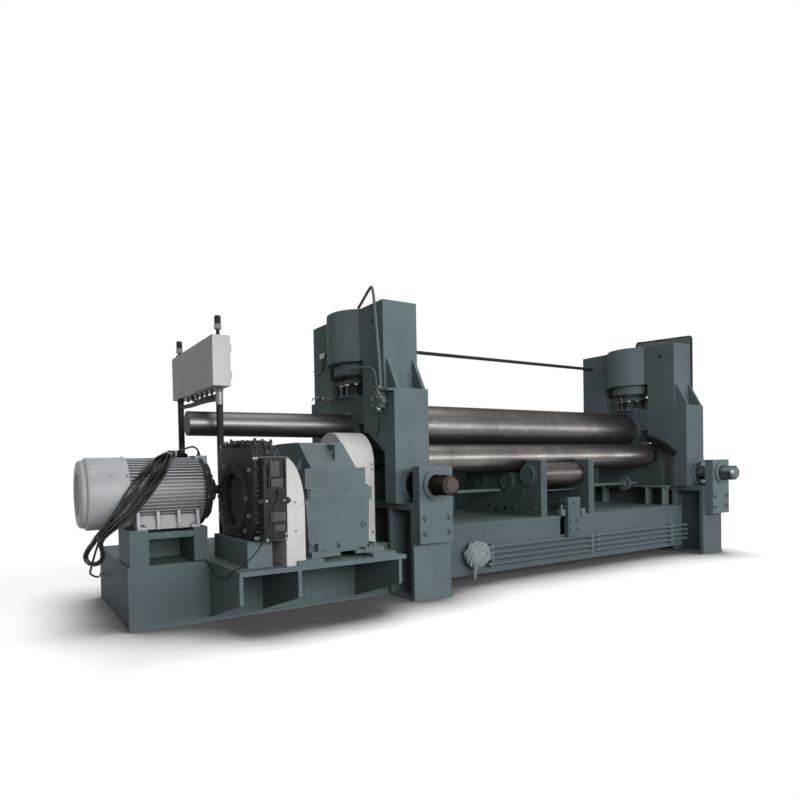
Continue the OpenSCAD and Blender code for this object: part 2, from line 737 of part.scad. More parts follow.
module frame_outline() {
    difference() {
        polygon([[-column_front, frame_foot], [-column_front, ledge_h], [-column_top, ledge_h],
            [-column_top, frame_top], [column_top, frame_top], [column_top, ledge_h],
            [column_back, ledge_h], [column_back, frame_foot]]);
        polygon([[-portal_half, 0], [-portal_half, portal_h], [-slot_half - 75, slot_h - 8], [-slot_half, slot_h],
            [-slot_half, cylinder_low], [slot_half, cylinder_low], [slot_half, slot_h],
            [slot_half + 75, slot_h - 8], [portal_half, portal_h], [portal_half, 0]]);
    }
}

module portal_frame() {
    brace_t = 30;
    brace_h = 290;
    difference() {
        union() {
            translate([-frame_w / 2, 0, 0]) along_x(frame_w) frame_outline();
            for (x = [-150, 120]) translate([x, 0, 0]) along_x(brace_t)
                polygon([[-column_top, ledge_h], [-column_front, ledge_h], [-column_top, ledge_h + brace_h]]);
        }
        translate([0, 0, cylinder_low - 1]) cylinder(h = frame_top, r = cylinder_r + slide_gap);
        translate([-frame_w / 2 - 1, -500, frame_top - 155]) bar_x(60, 22);
    }
}

module drive_side_frame() { color(paint) translate([frame_x[0], 0, 0]) portal_frame(); }
module far_side_frame() { color(paint) translate([frame_x[1], 0, 0]) portal_frame(); }

module cylinder_housings() {
    body_h = frame_top + 8 - cylinder_low;
    edge = 10;
    ring_gap = 27;
    color(paint) for (x = frame_x) translate([x, 0, cylinder_low]) difference() {
        union() {
            cylinder(h = body_h - edge, r = cylinder_r);
            translate([0, 0, body_h - edge]) cylinder(h = edge, r1 = cylinder_r, r2 = cylinder_r - edge);
            translate([0, 0, -neck_t]) cylinder(h = neck_t, r = neck_r);
            translate([0, 0, -ring_gap - neck_ring_t]) cylinder(h = neck_ring_t, r = neck_ring_r);
        }
        translate([0, 0, 5]) cylinder(h = piston_low + piston_t + lift_up - cylinder_low, r = piston_r + 5);
        translate([0, 0, -neck_t - 1]) cylinder(h = neck_t + 10, r = piston_rod_r + slide_gap);
    }
}

module screw_rods() {
    color(roll_steel) for (i = [0, 1]) {
        length = leg_len / 2 + bracket_t + rod_proud[i] - column_front;
        translate([rod_x[i], -column_front - length, rod_h]) {
            rotate([-90, 0, 0]) cylinder(h = rod_chamfer, r1 = rod_r - rod_chamfer, r2 = rod_r);
            translate([0, rod_chamfer, 0]) bar_y(length - rod_chamfer, rod_r);
            translate([0, length - 30, 0]) bar_y(30, rod_r + 45);
        }
    }
}

module tie_rod() {
    color(soot) translate([frame_x[0] + frame_w / 2, 540, frame_top - 165]) bar_x(frame_span - frame_w, 20);
}

// Oil pipes of the drive side press cylinder, with their valve and its bracket
module frame_pipes() {
    face = frame_x[0] - frame_w / 2;
    pipe_x = face - 40;
    ring_x = frame_x[0] - 196;
    ring_h = cylinder_low - 65;
    top = frame_top + 8 + slide_gap;
    color(soot) {
        tube([[pipe_x, -702, ledge_h - 16], [pipe_x, -690, ledge_h + 150], [pipe_x, -660, frame_top - 352],
            [pipe_x, -622, frame_top - 42], [pipe_x, -600, frame_top + 80], [pipe_x + 4, -570, frame_top + 126],
            [pipe_x + 16, -500, frame_top + 115], [pipe_x + 44, -340, frame_top + 60],
            [pipe_x + 58, -262, frame_top + 36], [pipe_x + 62, -240, top + 24],
            [pipe_x + 62, -238, top + 14], [pipe_x + 62, -238, top]], 13, [1, 0.1, 0.05], 3, 10);
        tube([[pipe_x, -627, ledge_h - 16], [pipe_x, -626, ring_h - 155], [pipe_x, -600, ring_h - 85],
            [pipe_x, -540, ring_h - 41], [pipe_x, -440, ring_h - 19], [pipe_x, -300, ring_h - 7],
            [pipe_x, -230, ring_h - 2], [ring_x - 13.3, -193.2, ring_h], [ring_x - 0.6, -181.4, ring_h]],
            10, [1, 0.1, 0.05], 3, 10);
        translate([face - 64, -846, ledge_h - 24]) cube([64, 262, 16]);
        translate([face - 62, -716, ledge_h - 160]) cube([52, 120, 140]);
        translate([face - 36, -746, ledge_h - 100]) bar_y(180, 26);
        translate([face - 36, -656, ledge_h - 194]) cylinder(h = 60, r = 24);
    }
}

module mesh_guard() {
    color(soot) translate([frame_x[1] + frame_w / 2, 0, 0]) along_x(14)
        polygon([[-705, frame_top - 590], [-705, frame_top + 70], [-685, frame_top + 105],
            [-640, frame_top + 115], [20, frame_top + 160], [70, frame_top + 155], [90, frame_top + 120],
            [90, frame_top + 25], [-350, frame_top + 25], [-350, frame_top - 590]]);
}

module chocks() {
    shoulder = 10;
    color(dark_paint) for (x = frame_x) translate([x, 0, 0]) {
        difference() {
            translate([-frame_w / 2, 0, 0]) along_x(frame_w) union() {
                translate([0, upper_h]) circle(r = chock_r);
                polygon([[-slot_half + guide_gap, chock_top], [-slot_half + guide_gap, upper_h + shoulder],
                    [-chock_r, upper_h - 5], [chock_r, upper_h - 5], [slot_half - guide_gap, upper_h + shoulder],
                    [slot_half - guide_gap, chock_top]]);
            }
            translate([-frame_w, 0, upper_h]) bar_x(2 * frame_w, upper_neck_r + run_gap);
        }
        translate([0, 0, chock_top]) cylinder(h = piston_low - chock_top, r = piston_rod_r);
        translate([0, 0, chock_top]) cylinder(h = 20, r = clamp_r);
        translate([0, 0, clamp_low]) cylinder(h = clamp_t, r = clamp_r);
        translate([0, 0, piston_low]) cylinder(h = piston_t, r = piston_r);
    }
}

module upper_roll() {
    left_neck = neck_len + frame_w / 2;
    color(roll_steel) translate([roll_x - roll_len / 2, 0, upper_h]) {
        bar_x(roll_len, upper_r);
        translate([-left_neck, 0, 0]) bar_x(roll_len + 2 * left_neck, upper_neck_r);
        translate([-left_neck - tail_len, 0, 0]) rotate([0, 90, 0])
            cylinder(h = tail_len, r1 = tail_end_r, r2 = tail_r);
    }
}

module lower_roll(y) {
    left = lower_stub;
    color(roll_steel) translate([roll_x - roll_len / 2, y, lower_h]) {
        bar_x(roll_len, lower_r);
        translate([-left, 0, 0]) bar_x(roll_len + left + neck_len + 160, lower_neck_r);
    }
}

module front_lower_roll() { lower_roll(-lower_y); }
module rear_lower_roll() { lower_roll(lower_y); }

module support_roll(axis) {
    gap = 5;
    length = support_span - support_t - 2 * gap;
    color(roll_steel) translate([roll_x - length / 2, axis[0], axis[1]]) {
        bar_x(length, support_r);
        translate([-gap - support_t, 0, 0]) bar_x(length + 2 * (gap + support_t), support_neck_r);
    }
}

module front_outer_support_roll() { support_roll(support_axes[0]); }
module front_inner_support_roll() { support_roll(support_axes[1]); }
module rear_inner_support_roll() { support_roll(support_axes[2]); }
module rear_outer_support_roll() { support_roll(support_axes[3]); }

drive_side_leg();
far_side_leg();
front_beam();
rear_beam();
bed_plate();
screw_brackets();
bearing_seats();
support_plates();
centre_brackets();
sync_shaft();
beam_pipes();
pipe_wrap();
motor_pedestal();
drive_deck();
motor_stand();
motor();
fan_cowl();
motor_coupling();
bell_housing();
gear_unit();
gear_unit_support();
coupling_guard();
reducer_rails();
reducer_case();
reducer_cover();
gear_guards();
control_box();
box_posts();
cable_hank();
cable_lead();
sensor_cable();
drive_side_frame();
far_side_frame();
cylinder_housings();
screw_rods();
tie_rod();
frame_pipes();
mesh_guard();
chocks();
upper_roll();
front_lower_roll();
rear_lower_roll();
front_outer_support_roll();
front_inner_support_roll();
rear_inner_support_roll();
rear_outer_support_roll();
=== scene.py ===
# %% [markdown]
# # A three-roll plate bending machine
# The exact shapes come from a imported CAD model, which is loaded once as a fixed frame.
# This notebook adds the camera, the light, the paint and steel, and the small parts that solids leave out.
# Every number below is in metres, in the frame of the CAD model: X along the rolls, Y across, Z up.

# %% Load the CAD frame
import json
import math

import bpy
import numpy as np
from mathutils import Matrix, Vector


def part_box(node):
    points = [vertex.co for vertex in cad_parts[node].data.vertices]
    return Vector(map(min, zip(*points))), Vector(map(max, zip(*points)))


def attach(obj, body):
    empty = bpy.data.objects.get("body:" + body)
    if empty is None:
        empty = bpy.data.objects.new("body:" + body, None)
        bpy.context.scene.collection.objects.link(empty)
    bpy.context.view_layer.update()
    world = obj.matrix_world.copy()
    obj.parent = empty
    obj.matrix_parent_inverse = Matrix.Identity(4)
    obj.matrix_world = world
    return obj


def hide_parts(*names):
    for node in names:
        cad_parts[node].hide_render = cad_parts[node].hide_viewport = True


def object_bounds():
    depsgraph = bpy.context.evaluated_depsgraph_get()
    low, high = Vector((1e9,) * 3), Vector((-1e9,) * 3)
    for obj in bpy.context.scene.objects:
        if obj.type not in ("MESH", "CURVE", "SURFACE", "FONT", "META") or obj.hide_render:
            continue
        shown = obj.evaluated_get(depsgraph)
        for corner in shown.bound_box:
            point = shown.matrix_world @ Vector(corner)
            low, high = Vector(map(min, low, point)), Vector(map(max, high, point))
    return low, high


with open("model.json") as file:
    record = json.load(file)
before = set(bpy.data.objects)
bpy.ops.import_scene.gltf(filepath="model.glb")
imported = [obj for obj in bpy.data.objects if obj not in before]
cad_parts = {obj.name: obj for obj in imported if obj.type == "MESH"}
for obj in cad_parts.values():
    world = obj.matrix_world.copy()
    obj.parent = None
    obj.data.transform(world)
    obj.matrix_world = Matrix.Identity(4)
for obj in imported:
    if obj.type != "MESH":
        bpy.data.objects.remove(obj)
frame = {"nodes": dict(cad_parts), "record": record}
NODES = frame["nodes"]
CAD_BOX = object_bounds()
MM = 0.001
print("CAD nodes:", len(NODES), "box:", [tuple(round(v, 3) for v in corner) for corner in CAD_BOX])

# %% [markdown]
# ## Camera
# The camera stands near the motor end, at chest height, and looks along the rolls.
# Its turn is built from three angles: yaw from +Y towards +X, pitch above the horizon, and a small roll.
# The lens keeps upright lines nearly upright, so the view is shifted up instead of tilted.

# %% Camera from three angles
EYE = Vector((-5.204, -5.2236, 1.1548))
YAW, PITCH, ROLL = (math.radians(a) for a in (32.068, -1.222, -1.098))
FOCAL_MM, SENSOR_MM = 27.727, 36.0
SHIFT = (0.0186, 0.0962)


def camera_axes(yaw, pitch, roll):
    """Forward is the heading lifted by the pitch. Right and up are the level ones rolled about forward."""
    forward = Vector((math.cos(pitch) * math.sin(yaw), math.cos(pitch) * math.cos(yaw), math.sin(pitch)))
    level = Vector((math.cos(yaw), -math.sin(yaw), 0.0))
    over = level.cross(forward)
    right = math.cos(roll) * level + math.sin(roll) * over
    up = -math.sin(roll) * level + math.cos(roll) * over
    return right, up, forward


def make_camera():
    data = bpy.data.cameras.new("viewing_camera")
    data.lens, data.sensor_width = FOCAL_MM, SENSOR_MM
    data.shift_x, data.shift_y = SHIFT
    camera = bpy.data.objects.new("viewing_camera", data)
    bpy.context.scene.collection.objects.link(camera)
    right, up, forward = camera_axes(YAW, PITCH, ROLL)
    turn = Matrix((right, up, -forward)).transposed()
    camera.matrix_world = Matrix.Translation(EYE) @ turn.to_4x4()
    bpy.context.scene.camera = camera
    return camera


camera = make_camera()
print("camera at", tuple(round(v, 3) for v in camera.location), "lens", FOCAL_MM, "mm")

# %% [markdown]
# ## Surfaces from arrays
# Every small part below is a skin: rings of points, one after another, joined by four-sided faces.
# A bolt, a pipe and a cover are then one formula each, worked out for all points at once.
# Stamping copies of one skin keeps a hundred bolts in a single mesh.

# %% Skins: rings joined into a closed surface
def skin(rings, looped=False):
    """Rings joined row to row and all round. A fan closes each end, or the last row meets the first."""
    rings = np.asarray(rings, dtype=float)
    rows, count = rings.shape[:2]
    spans = rows if looped else rows - 1
    row, step = np.meshgrid(np.arange(spans), np.arange(count), indexing="ij")
    low, high = row * count, ((row + 1) % rows) * count
    after = (step + 1) % count
    faces = np.stack([low + step, low + after, high + after, high + step], axis=-1).reshape(-1, 4).tolist()
    points = rings.reshape(-1, 3)
    if not looped:
        points = np.vstack([points, rings[0].mean(axis=0), rings[-1].mean(axis=0)])
        ring = np.arange(count)
        after, base = (ring + 1) % count, (rows - 1) * count
        faces += np.stack([after, ring, np.full(count, rows * count)], axis=-1).tolist()
        faces += np.stack([base + ring, base + after, np.full(count, rows * count + 1)], axis=-1).tolist()
    return points, faces


def turned(profile, count=24, sixfold=0.0):
    """Point = (r cos t, r sin t, h) for each (r, h) of a profile. Sixfold 1 makes the round a hexagon."""
    radius, height = np.asarray(profile, dtype=float).T
    t = np.arange(count) * 2 * np.pi / count
    flat = np.cos(np.pi / 6) / np.cos((t % (np.pi / 3)) - np.pi / 6)
    keep = np.broadcast_to(sixfold, radius.shape)[:, None]
    round_off = radius[:, None] * (1 - keep + keep * flat[None])
    return skin(np.stack([round_off * np.cos(t), round_off * np.sin(t),
                          np.broadcast_to(height[:, None], round_off.shape)], axis=-1))


def block(low, high, edge, axis=2):
    """A rounded rectangle carried along one axis, and drawn in by the same quarter round at both ends."""
    low, high = np.minimum(low, high).astype(float), np.maximum(low, high).astype(float)
    first, second = (axis + 1) % 3, (axis + 2) % 3
    corner = np.repeat(np.arange(4), 3)
    t = corner * np.pi / 2 + np.tile([0.0, 0.5, 1.0], 4) * np.pi / 2
    lean = np.array([0.8, 0.29, 0.0, 0.0, 0.29, 0.8]) * edge
    rise = np.array([0.0, 0.29, 1.0, -1.0, -0.29, 0.0]) * edge
    rings = np.zeros((6, 12, 3))
    for k, sign in ((first, np.where(np.isin(corner, (0, 3)), 1, -1)), (second, np.where(corner < 2, 1, -1))):
        middle, half = (low[k] + high[k]) / 2, (high[k] - low[k]) / 2
        wave = np.cos(t) if k == first else np.sin(t)
        rings[:, :, k] = middle + sign * (half - edge) + (edge - lean[:, None]) * wave
    rings[:3, :, axis] = low[axis] + rise[:3, None]
    rings[3:, :, axis] = high[axis] + rise[3:, None]
    return skin(rings)


def stamped(shape, places, axes):
    """Copies of a shape: p goes to place + p.x a + p.y b + p.z axis, with a and b square to the axis."""
    points, faces = shape
    places = np.atleast_2d(np.asarray(places, dtype=float))
    axes = np.broadcast_to(np.asarray(axes, dtype=float), places.shape)
    axes = axes / np.linalg.norm(axes, axis=1, keepdims=True)
    guide = np.where(np.abs(axes[:, 2:]) > 0.9, [1.0, 0.0, 0.0], [0.0, 0.0, 1.0])
    a = np.cross(guide, axes)
    a /= np.linalg.norm(a, axis=1, keepdims=True)
    turn = np.stack([a, np.cross(axes, a), axes], axis=1)
    copies = places[:, None] + np.einsum("pk,nkc->npc", points, turn)
    offsets = np.arange(len(places)) * len(points)
    return copies.reshape(-1, 3), [[i + offset for i in face] for offset in offsets for face in faces]


def smooth(points, steps):
    """A Catmull-Rom curve: each span leaves with half the step from the last point to the next."""
    p = np.asarray(points, dtype=float)
    p = np.vstack([2 * p[0] - p[1], p, 2 * p[-1] - p[-2]])
    t = np.linspace(0, 1, steps, endpoint=False)[None, :, None]
    a, b, c, d = (p[k:len(p) - 3 + k, None] for k in range(4))
    spans = 0.5 * (2 * b + (c - a) * t + (2 * a - 5 * b + 4 * c - d) * t**2 + (3 * b - a - 3 * c + d) * t**3)
    return np.vstack([spans.reshape(-1, p.shape[1]), p[-2]])


def unit(v):
    return v / np.linalg.norm(v, axis=-1, keepdims=True)


def tube(path, radius, side=(0.0, 0.0, 1.0), count=8, looped=False):
    """Circles carried along a path, each square to the heading there. The side is never along the path."""
    path = np.asarray(path, dtype=float)
    heading = (np.roll(path, -1, axis=0) - np.roll(path, 1, axis=0)) if looped else np.gradient(path, axis=0)
    heading = unit(heading)
    across = unit(np.cross(heading, np.broadcast_to(side, path.shape)))
    over = np.cross(heading, across)
    t = np.arange(count) * 2 * np.pi / count
    reach = np.broadcast_to(radius, len(path))[:, None, None]
    rings = path[:, None] + reach * (np.cos(t)[None, :, None] * across[:, None]
                                     + np.sin(t)[None, :, None] * over[:, None])
    return skin(rings, looped)


def length_of(path):
    return float(np.linalg.norm(np.diff(path, axis=0), axis=1).sum())


def evenly(path, spacing):
    """The same path with points that far apart along it."""
    run = np.r_[0.0, np.cumsum(np.linalg.norm(np.diff(path, axis=0), axis=1))]
    marks = np.linspace(0.0, run[-1], int(round(run[-1] / spacing)) + 1)
    return np.stack([np.interp(marks, run, path[:, k]) for k in range(path.shape[1])], axis=-1)


# %% Pieces: skins that get a finish and ride on a body
PAINT_LATER = []


def make(name, shapes, finish, body="base", crease=38.0, replaces=()):
    """One piece from one or more skins. Its finish is a name that is looked up once the finishes exist."""
    shapes = [shapes] if isinstance(shapes, tuple) else list(shapes)
    starts = np.cumsum([0] + [len(points) for points, _ in shapes])
    faces = [[i + int(start) for i in face] for start, (_, each) in zip(starts, shapes) for face in each]
    mesh = bpy.data.meshes.new(name)
    mesh.from_pydata(np.vstack([points for points, _ in shapes]).tolist(), [], faces)
    mesh.shade_smooth()
    mesh.set_sharp_from_angle(angle=math.radians(crease))
    piece = bpy.data.objects.new(name, mesh)
    bpy.context.scene.collection.objects.link(piece)
    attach(piece, body)
    if replaces:
        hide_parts(*replaces)
    PAINT_LATER.append((piece, finish))
    return piece


def corners(node):
    """The lowest and highest corner of a CAD node, as arrays."""
    return tuple(np.array(corner, dtype=float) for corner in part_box(node))


COWL_LOW, COWL_HIGH = corners("fan_cowl")
MOTOR_X = corners("motor")[0][0]
MOTOR_Y, MOTOR_Z = (COWL_LOW[1:] + COWL_HIGH[1:]) / 2
MOTOR_R = (COWL_HIGH[2] - COWL_LOW[2]) / 2
DECK_H = corners("drive_deck")[1][2]
print("motor axis at y", round(MOTOR_Y, 3), "z", round(MOTOR_Z, 3), "radius", round(MOTOR_R, 3))

# %% [markdown]
# ## Cables
# The motor came with its spare cable tied in a hank and thrown over it. A hank is one long cable that runs
# down and up eleven times, with a fold at each end, squeezed where it is tied and loose in between.
# It is laid out flat first, as distances along and across, and then wrapped over the motor's round back.
# Each run keeps a slot of its own, so that no run passes through another: three layers, two slots a side.

# %% The line of the hank, laid flat
HANK = MM * np.array([
    (463, -146), (454, -134), (440, -116), (422, -92), (394, -57), (368, -24), (346, 2), (308, 57),
    (256, 137), (188, 235), (114, 333), (34, 431), (-52, 529), (-134, 616), (-198, 684), (-224, 722),
    (-235, 757), (-243, 798), (-250, 830), (-256, 856), (-260, 874), (-263, 886)])
CABLE_R = 0.0075
SKIN_GAP = 0.0009       # between the motor and the cable that lies on it
FIRST_LAYER = 0.008     # from there to the middle of the lowest cable
PITCH_OF_RUNS = 0.016
FOLD_R = 0.045
HANK_LINE = evenly(smooth(HANK, 6), 0.005)
HANK_RUN = np.linspace(0.0, length_of(HANK_LINE), len(HANK_LINE))
HANK_HEADING = unit(np.gradient(evenly(smooth(HANK[[0, 3, 6, 8, 11, 14, 16, 19, 21]], 12), 0.005), axis=0))
TOP = FOLD_R + PITCH_OF_RUNS + CABLE_R
BOTTOM = HANK_RUN[-1] - TOP
TIES = (TOP + 0.125, BOTTOM - 0.118)
print("hank", round(HANK_RUN[-1], 3), "m long, tied at", [round(t, 3) for t in TIES])


def on_line(run):
    """The hank's line at a run along it, and the unit steps along and across it, laid flat."""
    middle = np.stack([np.interp(run, HANK_RUN, HANK_LINE[:, k]) for k in (0, 1)], axis=-1)
    marks = np.linspace(0.0, HANK_RUN[-1], len(HANK_HEADING))
    along = unit(np.stack([np.interp(run, marks, HANK_HEADING[:, k]) for k in (0, 1)], axis=-1))
    return middle, along, np.stack([along[..., 1], -along[..., 0]], axis=-1)


def on_motor(flat, off):
    """The flat sheet wrapped on the motor: an arc of its radius to the side, and straight down from there."""
    way, r, quarter = flat[..., 1], MOTOR_R + SKIN_GAP + off, MOTOR_R * np.pi / 2
    angle, down = np.minimum(way, quarter) / MOTOR_R, np.maximum(way - quarter, 0.0)
    return np.stack([MOTOR_X + flat[..., 0], MOTOR_Y - r * np.sin(angle), MOTOR_Z + r * np.cos(angle) - down],
                    axis=-1)


def eased(x, knots, values):
    """Values at the knots, joined by the S-shaped step 3u^2 - 2u^3."""
    knots, values = np.asarray(knots, dtype=float), np.asarray(values, dtype=float)
    i = np.clip(np.searchsorted(knots, x, side="right") - 1, 0, len(knots) - 2)
    u = np.clip((x - knots[i]) / (knots[i + 1] - knots[i]), 0.0, 1.0)
    return values[i] + (values[i + 1] - values[i]) * (3 * u**2 - 2 * u**3)


# %% Runs and folds of the hank
SLOTS = [(2, 1), (2, 0), (1, 0), (1, 1), (0, 1), (0, 0)]     # layer, and inner or outer, of each turn


def place_in(slot, run, side):
    """Sideways place and height of a slot: wide at the folds, squeezed at the ties, loose in between."""
    layer, outer = slot
    wide, tied = FOLD_R + PITCH_OF_RUNS * outer, PITCH_OF_RUNS * (0.5 + outer)
    loose = 0.021 + 0.036 * outer
    loosest = (TIES[0] + 0.30, TIES[1] - 0.32)
    across = eased(run, [TOP, TIES[0], *loosest, TIES[1], BOTTOM], [wide, tied, loose, loose, tied, wide])
    free = np.sin(np.pi * np.clip((run - TIES[0]) / (TIES[1] - TIES[0]), 0, 1)) ** 2
    drift = (0.011 * (layer - 1) + 0.006 * np.sin(9 * run + 2.1 * layer + side)) * free
    return side * across + drift, FIRST_LAYER + PITCH_OF_RUNS * layer + 0 * run


def run_of(turn, side, start, stop):
    """One run. Going up, it moves to the next turn's slot, a little higher up for each earlier turn."""
    run = np.linspace(start, stop, 90)
    across, off = place_in(SLOTS[turn], run, side)
    if side < 0:
        low = TIES[1] - 0.06 - 0.155 * (4 - turn)
        keep = eased(run, [low - 0.15, low], [0.0, 1.0])
        across_next, off_next = place_in(SLOTS[turn + 1], run, side)
        across, off = across_next + keep * (across - across_next), off_next + keep * (off - off_next)
    middle, _, sideways = on_line(run)
    return on_motor(middle + across[:, None] * sideways, off)


def fold_of(slot, at_top):
    """A half circle round the hank's line, from one side to the other."""
    centre, along, sideways = (v[0] for v in on_line(np.array([TOP if at_top else BOTTOM])))
    turn, sign = np.linspace(0.0, np.pi, 13)[1:-1, None], -1.0 if at_top else 1.0
    radius = FOLD_R + PITCH_OF_RUNS * slot[1]
    flat = centre + sign * radius * (np.cos(turn) * sideways + np.sin(turn) * along)
    return on_motor(flat, FIRST_LAYER + PITCH_OF_RUNS * slot[0])


# %% The whole motor cable, from its gland to the pedestal
EXIT = np.array([-3.860, -0.300, 1.245])      # on top of the motor's terminal box
turn = np.linspace(0.0, np.pi / 2, 6)[:, None]
arch = EXIT + np.hstack([0.05 * (np.cos(turn) - 1), 0.002 * turn, 0.024 + 0.05 * np.sin(turn)])
near = on_line(np.array([TIES[0] - 0.115, TIES[0] - 0.075, TIES[0] - 0.04]))
landing = on_motor(near[0] + np.array([[0.047], [0.037], [0.029]]) * near[2], np.array([0.068, 0.052, 0.043]))
first_run = run_of(0, 1, TIES[0], BOTTOM)
arrival = smooth(np.vstack([EXIT, EXIT + (0, 0, 0.012), arch, landing, first_run[:2]]), 4)[:-5]

legs = [arrival, first_run]
for index in range(5):
    legs += [fold_of(SLOTS[index], False), run_of(index, -1, BOTTOM, TOP), fold_of(SLOTS[index + 1], True)]
    legs += [run_of(index + 1, 1, TOP, BOTTOM if index < 4 else TIES[1])]
LEAD = MM * np.array([
    (-4644, -637, 650), (-4660, -630, 600), (-4674, -622, 548), (-4686, -616, 502), (-4693, -600, 464),
    (-4690, -540, 438), (-4668, -400, 408), (-4630, -200, 364), (-4585, 0, 322), (-4545, 220, 288),
    (-4508, 420, 264), (-4482, 560, 250), (-4474, 651, 247)])
legs += [smooth(np.vstack([legs[-1][-1], LEAD]), 5)[1:]]
CABLE_PATH = evenly(np.vstack(legs), 0.0125)
outward = unit(CABLE_PATH * (0, 1, 1) - (0, MOTOR_Y, MOTOR_Z))
start_blend = np.clip((np.arange(len(CABLE_PATH)) - 7) / 10, 0, 1)[:, None]
cable_side = unit(outward * start_blend + np.array([0.0, 1.0, 0.0]) * (1 - start_blend))
motor_cable = make("motor_cable", tube(CABLE_PATH, CABLE_R, cable_side), "cable_black",
                   crease=70, replaces=("cable_hank", "cable_lead"))
print("motor cable:", round(length_of(CABLE_PATH), 2), "m in", len(CABLE_PATH), "points")


# %% Ties, glands and the thin cable
def tie_loop(run, width):
    """A flat band round the bundle: a rounded rectangle across the runs, from the skin to the top layer."""
    t = np.linspace(0, 2 * np.pi, 28, endpoint=False)
    middle, along, sideways = (v[0] for v in on_line(np.array([run])))
    across = 0.0345 * np.sign(np.cos(t)) * np.abs(np.cos(t)) ** 0.45
    off = 0.0243 + 0.0258 * np.sign(np.sin(t)) * np.abs(np.sin(t)) ** 0.45
    band = [(s * width / 2, thick) for s, thick in ((-1, -0.0007), (1, -0.0007), (1, 0.0009), (-1, 0.0009))]
    rings = [on_motor(middle + (across * (1 + thick / 0.034))[:, None] * sideways + step * along,
                      0.0243 + (off - 0.0243) * (1 + thick / 0.0258)) for step, thick in band]
    return skin(np.stack(rings, axis=1), looped=True)


def gland(nut_r, sleeve_r, cable_r, height):
    """A hexagon nut, and a sleeve that tapers down to the cable with three ribs."""
    h = np.linspace(0.35, 1.0, 13)
    taper = cable_r * 1.15 + (sleeve_r - cable_r * 1.15) * (1 - (h - 0.35) / 0.65) + 0.0007 * np.cos(h * 60)
    nut = [(nut_r * 0.95, 0), (nut_r, 0.04 * height), (nut_r, 0.3 * height), (nut_r * 0.92, 0.35 * height)]
    profile = nut + list(zip(taper, h * height)) + [(cable_r * 0.9, height * 1.01)]
    return turned(profile, 24, [1.0] * 4 + [0.0] * 14)


low_tie = make("cable_tie", tie_loop(TIES[1], 0.024), "cable_black", crease=60)
ties = make("white_ties", [tie_loop(TIES[0], 0.024), tie_loop(TIES[0] + 0.10, 0.012)], "tape", crease=60)
exit_gland = make("motor_cable_gland", stamped(gland(0.017, 0.0125, CABLE_R, 0.036), EXIT, (0, 0, 1)),
                  "cable_black")
LEAD_END = CABLE_PATH[-1]
lead_gland = make("pedestal_gland",
                  stamped(gland(0.017, 0.0125, CABLE_R, 0.034), LEAD_END + (0.0241, 0, 0), (-1, 0, 0)),
                  "nickel")

SENSOR_R = 0.0045
SENSOR_ROUTE = MM * np.array([
    (826, -1300, 516.5), (822, -1310, 492.5), (798, -1325, 422.5), (758, -1330, 322.5), (714, -1325, 222.5),
    (664, -1300, 132.5), (611, -1255, 62.5), (574, -1230, 24.5), (550, -1212, 9.5), (537, -1198, 6.5),
    (530, -1186, -5.5), (524, -1164, -29.5), (517, -1105, -65.5), (512, -1020, -79.5), (510, -920, -77.5),
    (510, -820, -61.5), (511, -720, -31.5), (512, -655, -3.5), (508, -622, 8.5), (491, -616, 5.5),
    (461, -616, 5.5), (434, -616, 5.5), (420, -606, 5.5), (418, -585, 5.5), (423, -560, 5.5)])
SENSOR_PATH = evenly(smooth(SENSOR_ROUTE, 4), 0.008) + (MOTOR_X, 0, DECK_H)
sensor_cable = make("thin_cable", tube(SENSOR_PATH, SENSOR_R, (0.35, -0.2, 0.9)), "cable_black",
                    crease=70, replaces=("sensor_cable",))
sensor_plug = make("thin_cable_plug", [
    stamped(gland(0.013, 0.0095, SENSOR_R, 0.034), SENSOR_PATH[0] + (0.002, 0.006, 0.012),
            SENSOR_PATH[3] - SENSOR_PATH[0] + (0, 0, 0.002)),
    stamped(gland(0.012, 0.009, SENSOR_R, 0.024), SENSOR_PATH[-1], (0.1, -1, 0)),
], "cable_black")
print("thin cable:", round(length_of(SENSOR_PATH), 2), "m")

# %% [markdown]
# ## Bolts, studs and rods
# A hexagon head is a turned shape whose round is pressed flat: r(t) = r cos(30) / cos(t mod 60 - 30).
# A stud's thread is only a ripple of its radius. Each kind is made once, and stamped wherever it is needed.

# %% Standard parts
def at(*places):
    """Places given in millimetres."""
    return MM * np.array(places, dtype=float)


def bolt(r):
    """A round washer and a chamfered hexagon head, r from the middle to a corner."""
    profile = [(1.3 * r, 0), (1.3 * r, 0.2 * r), (r, 0.22 * r), (r, 0.85 * r), (0.84 * r, r)]
    return turned(profile, 12, [0, 0, 1, 1, 1])


def cap_screw(r):
    """A round head with a socket sunk in it."""
    profile = [(r, 0), (r, 0.8 * r), (0.88 * r, r), (0.55 * r, r), (0.5 * r, 0.5 * r)]
    return turned(profile, 12, [0, 0, 0, 1, 1])


def stud(r, height, nut_from):
    """A threaded rod with a thick nut and a domed cap on it."""
    h = np.linspace(0, nut_from, 41)
    thread = list(zip(r * (0.95 + 0.05 * np.sin(h * 1100)), h))
    top = height - nut_from
    nut = [(1.65 * r, nut_from), (1.65 * r, nut_from + 0.6 * top), (1.3 * r, nut_from + 0.62 * top),
           (1.1 * r, nut_from + 0.88 * top), (0.5 * r, height)]
    return turned(thread + nut, 12, [0] * 41 + [1, 1, 0, 0, 0])


def rod(start, stop, radius):
    """A straight round bar; its guide is the axis it leans to least."""
    path = np.linspace(start, stop, 3)
    side = np.eye(3)[np.argmin(np.abs(path[-1] - path[0]))]
    return tube(path, radius, side)


def hose(places, radius, side=(0.0, 0.31, 0.95), count=8):
    """A round pipe through places in millimetres."""
    return tube(smooth(at(*places), 6), radius, side, count)


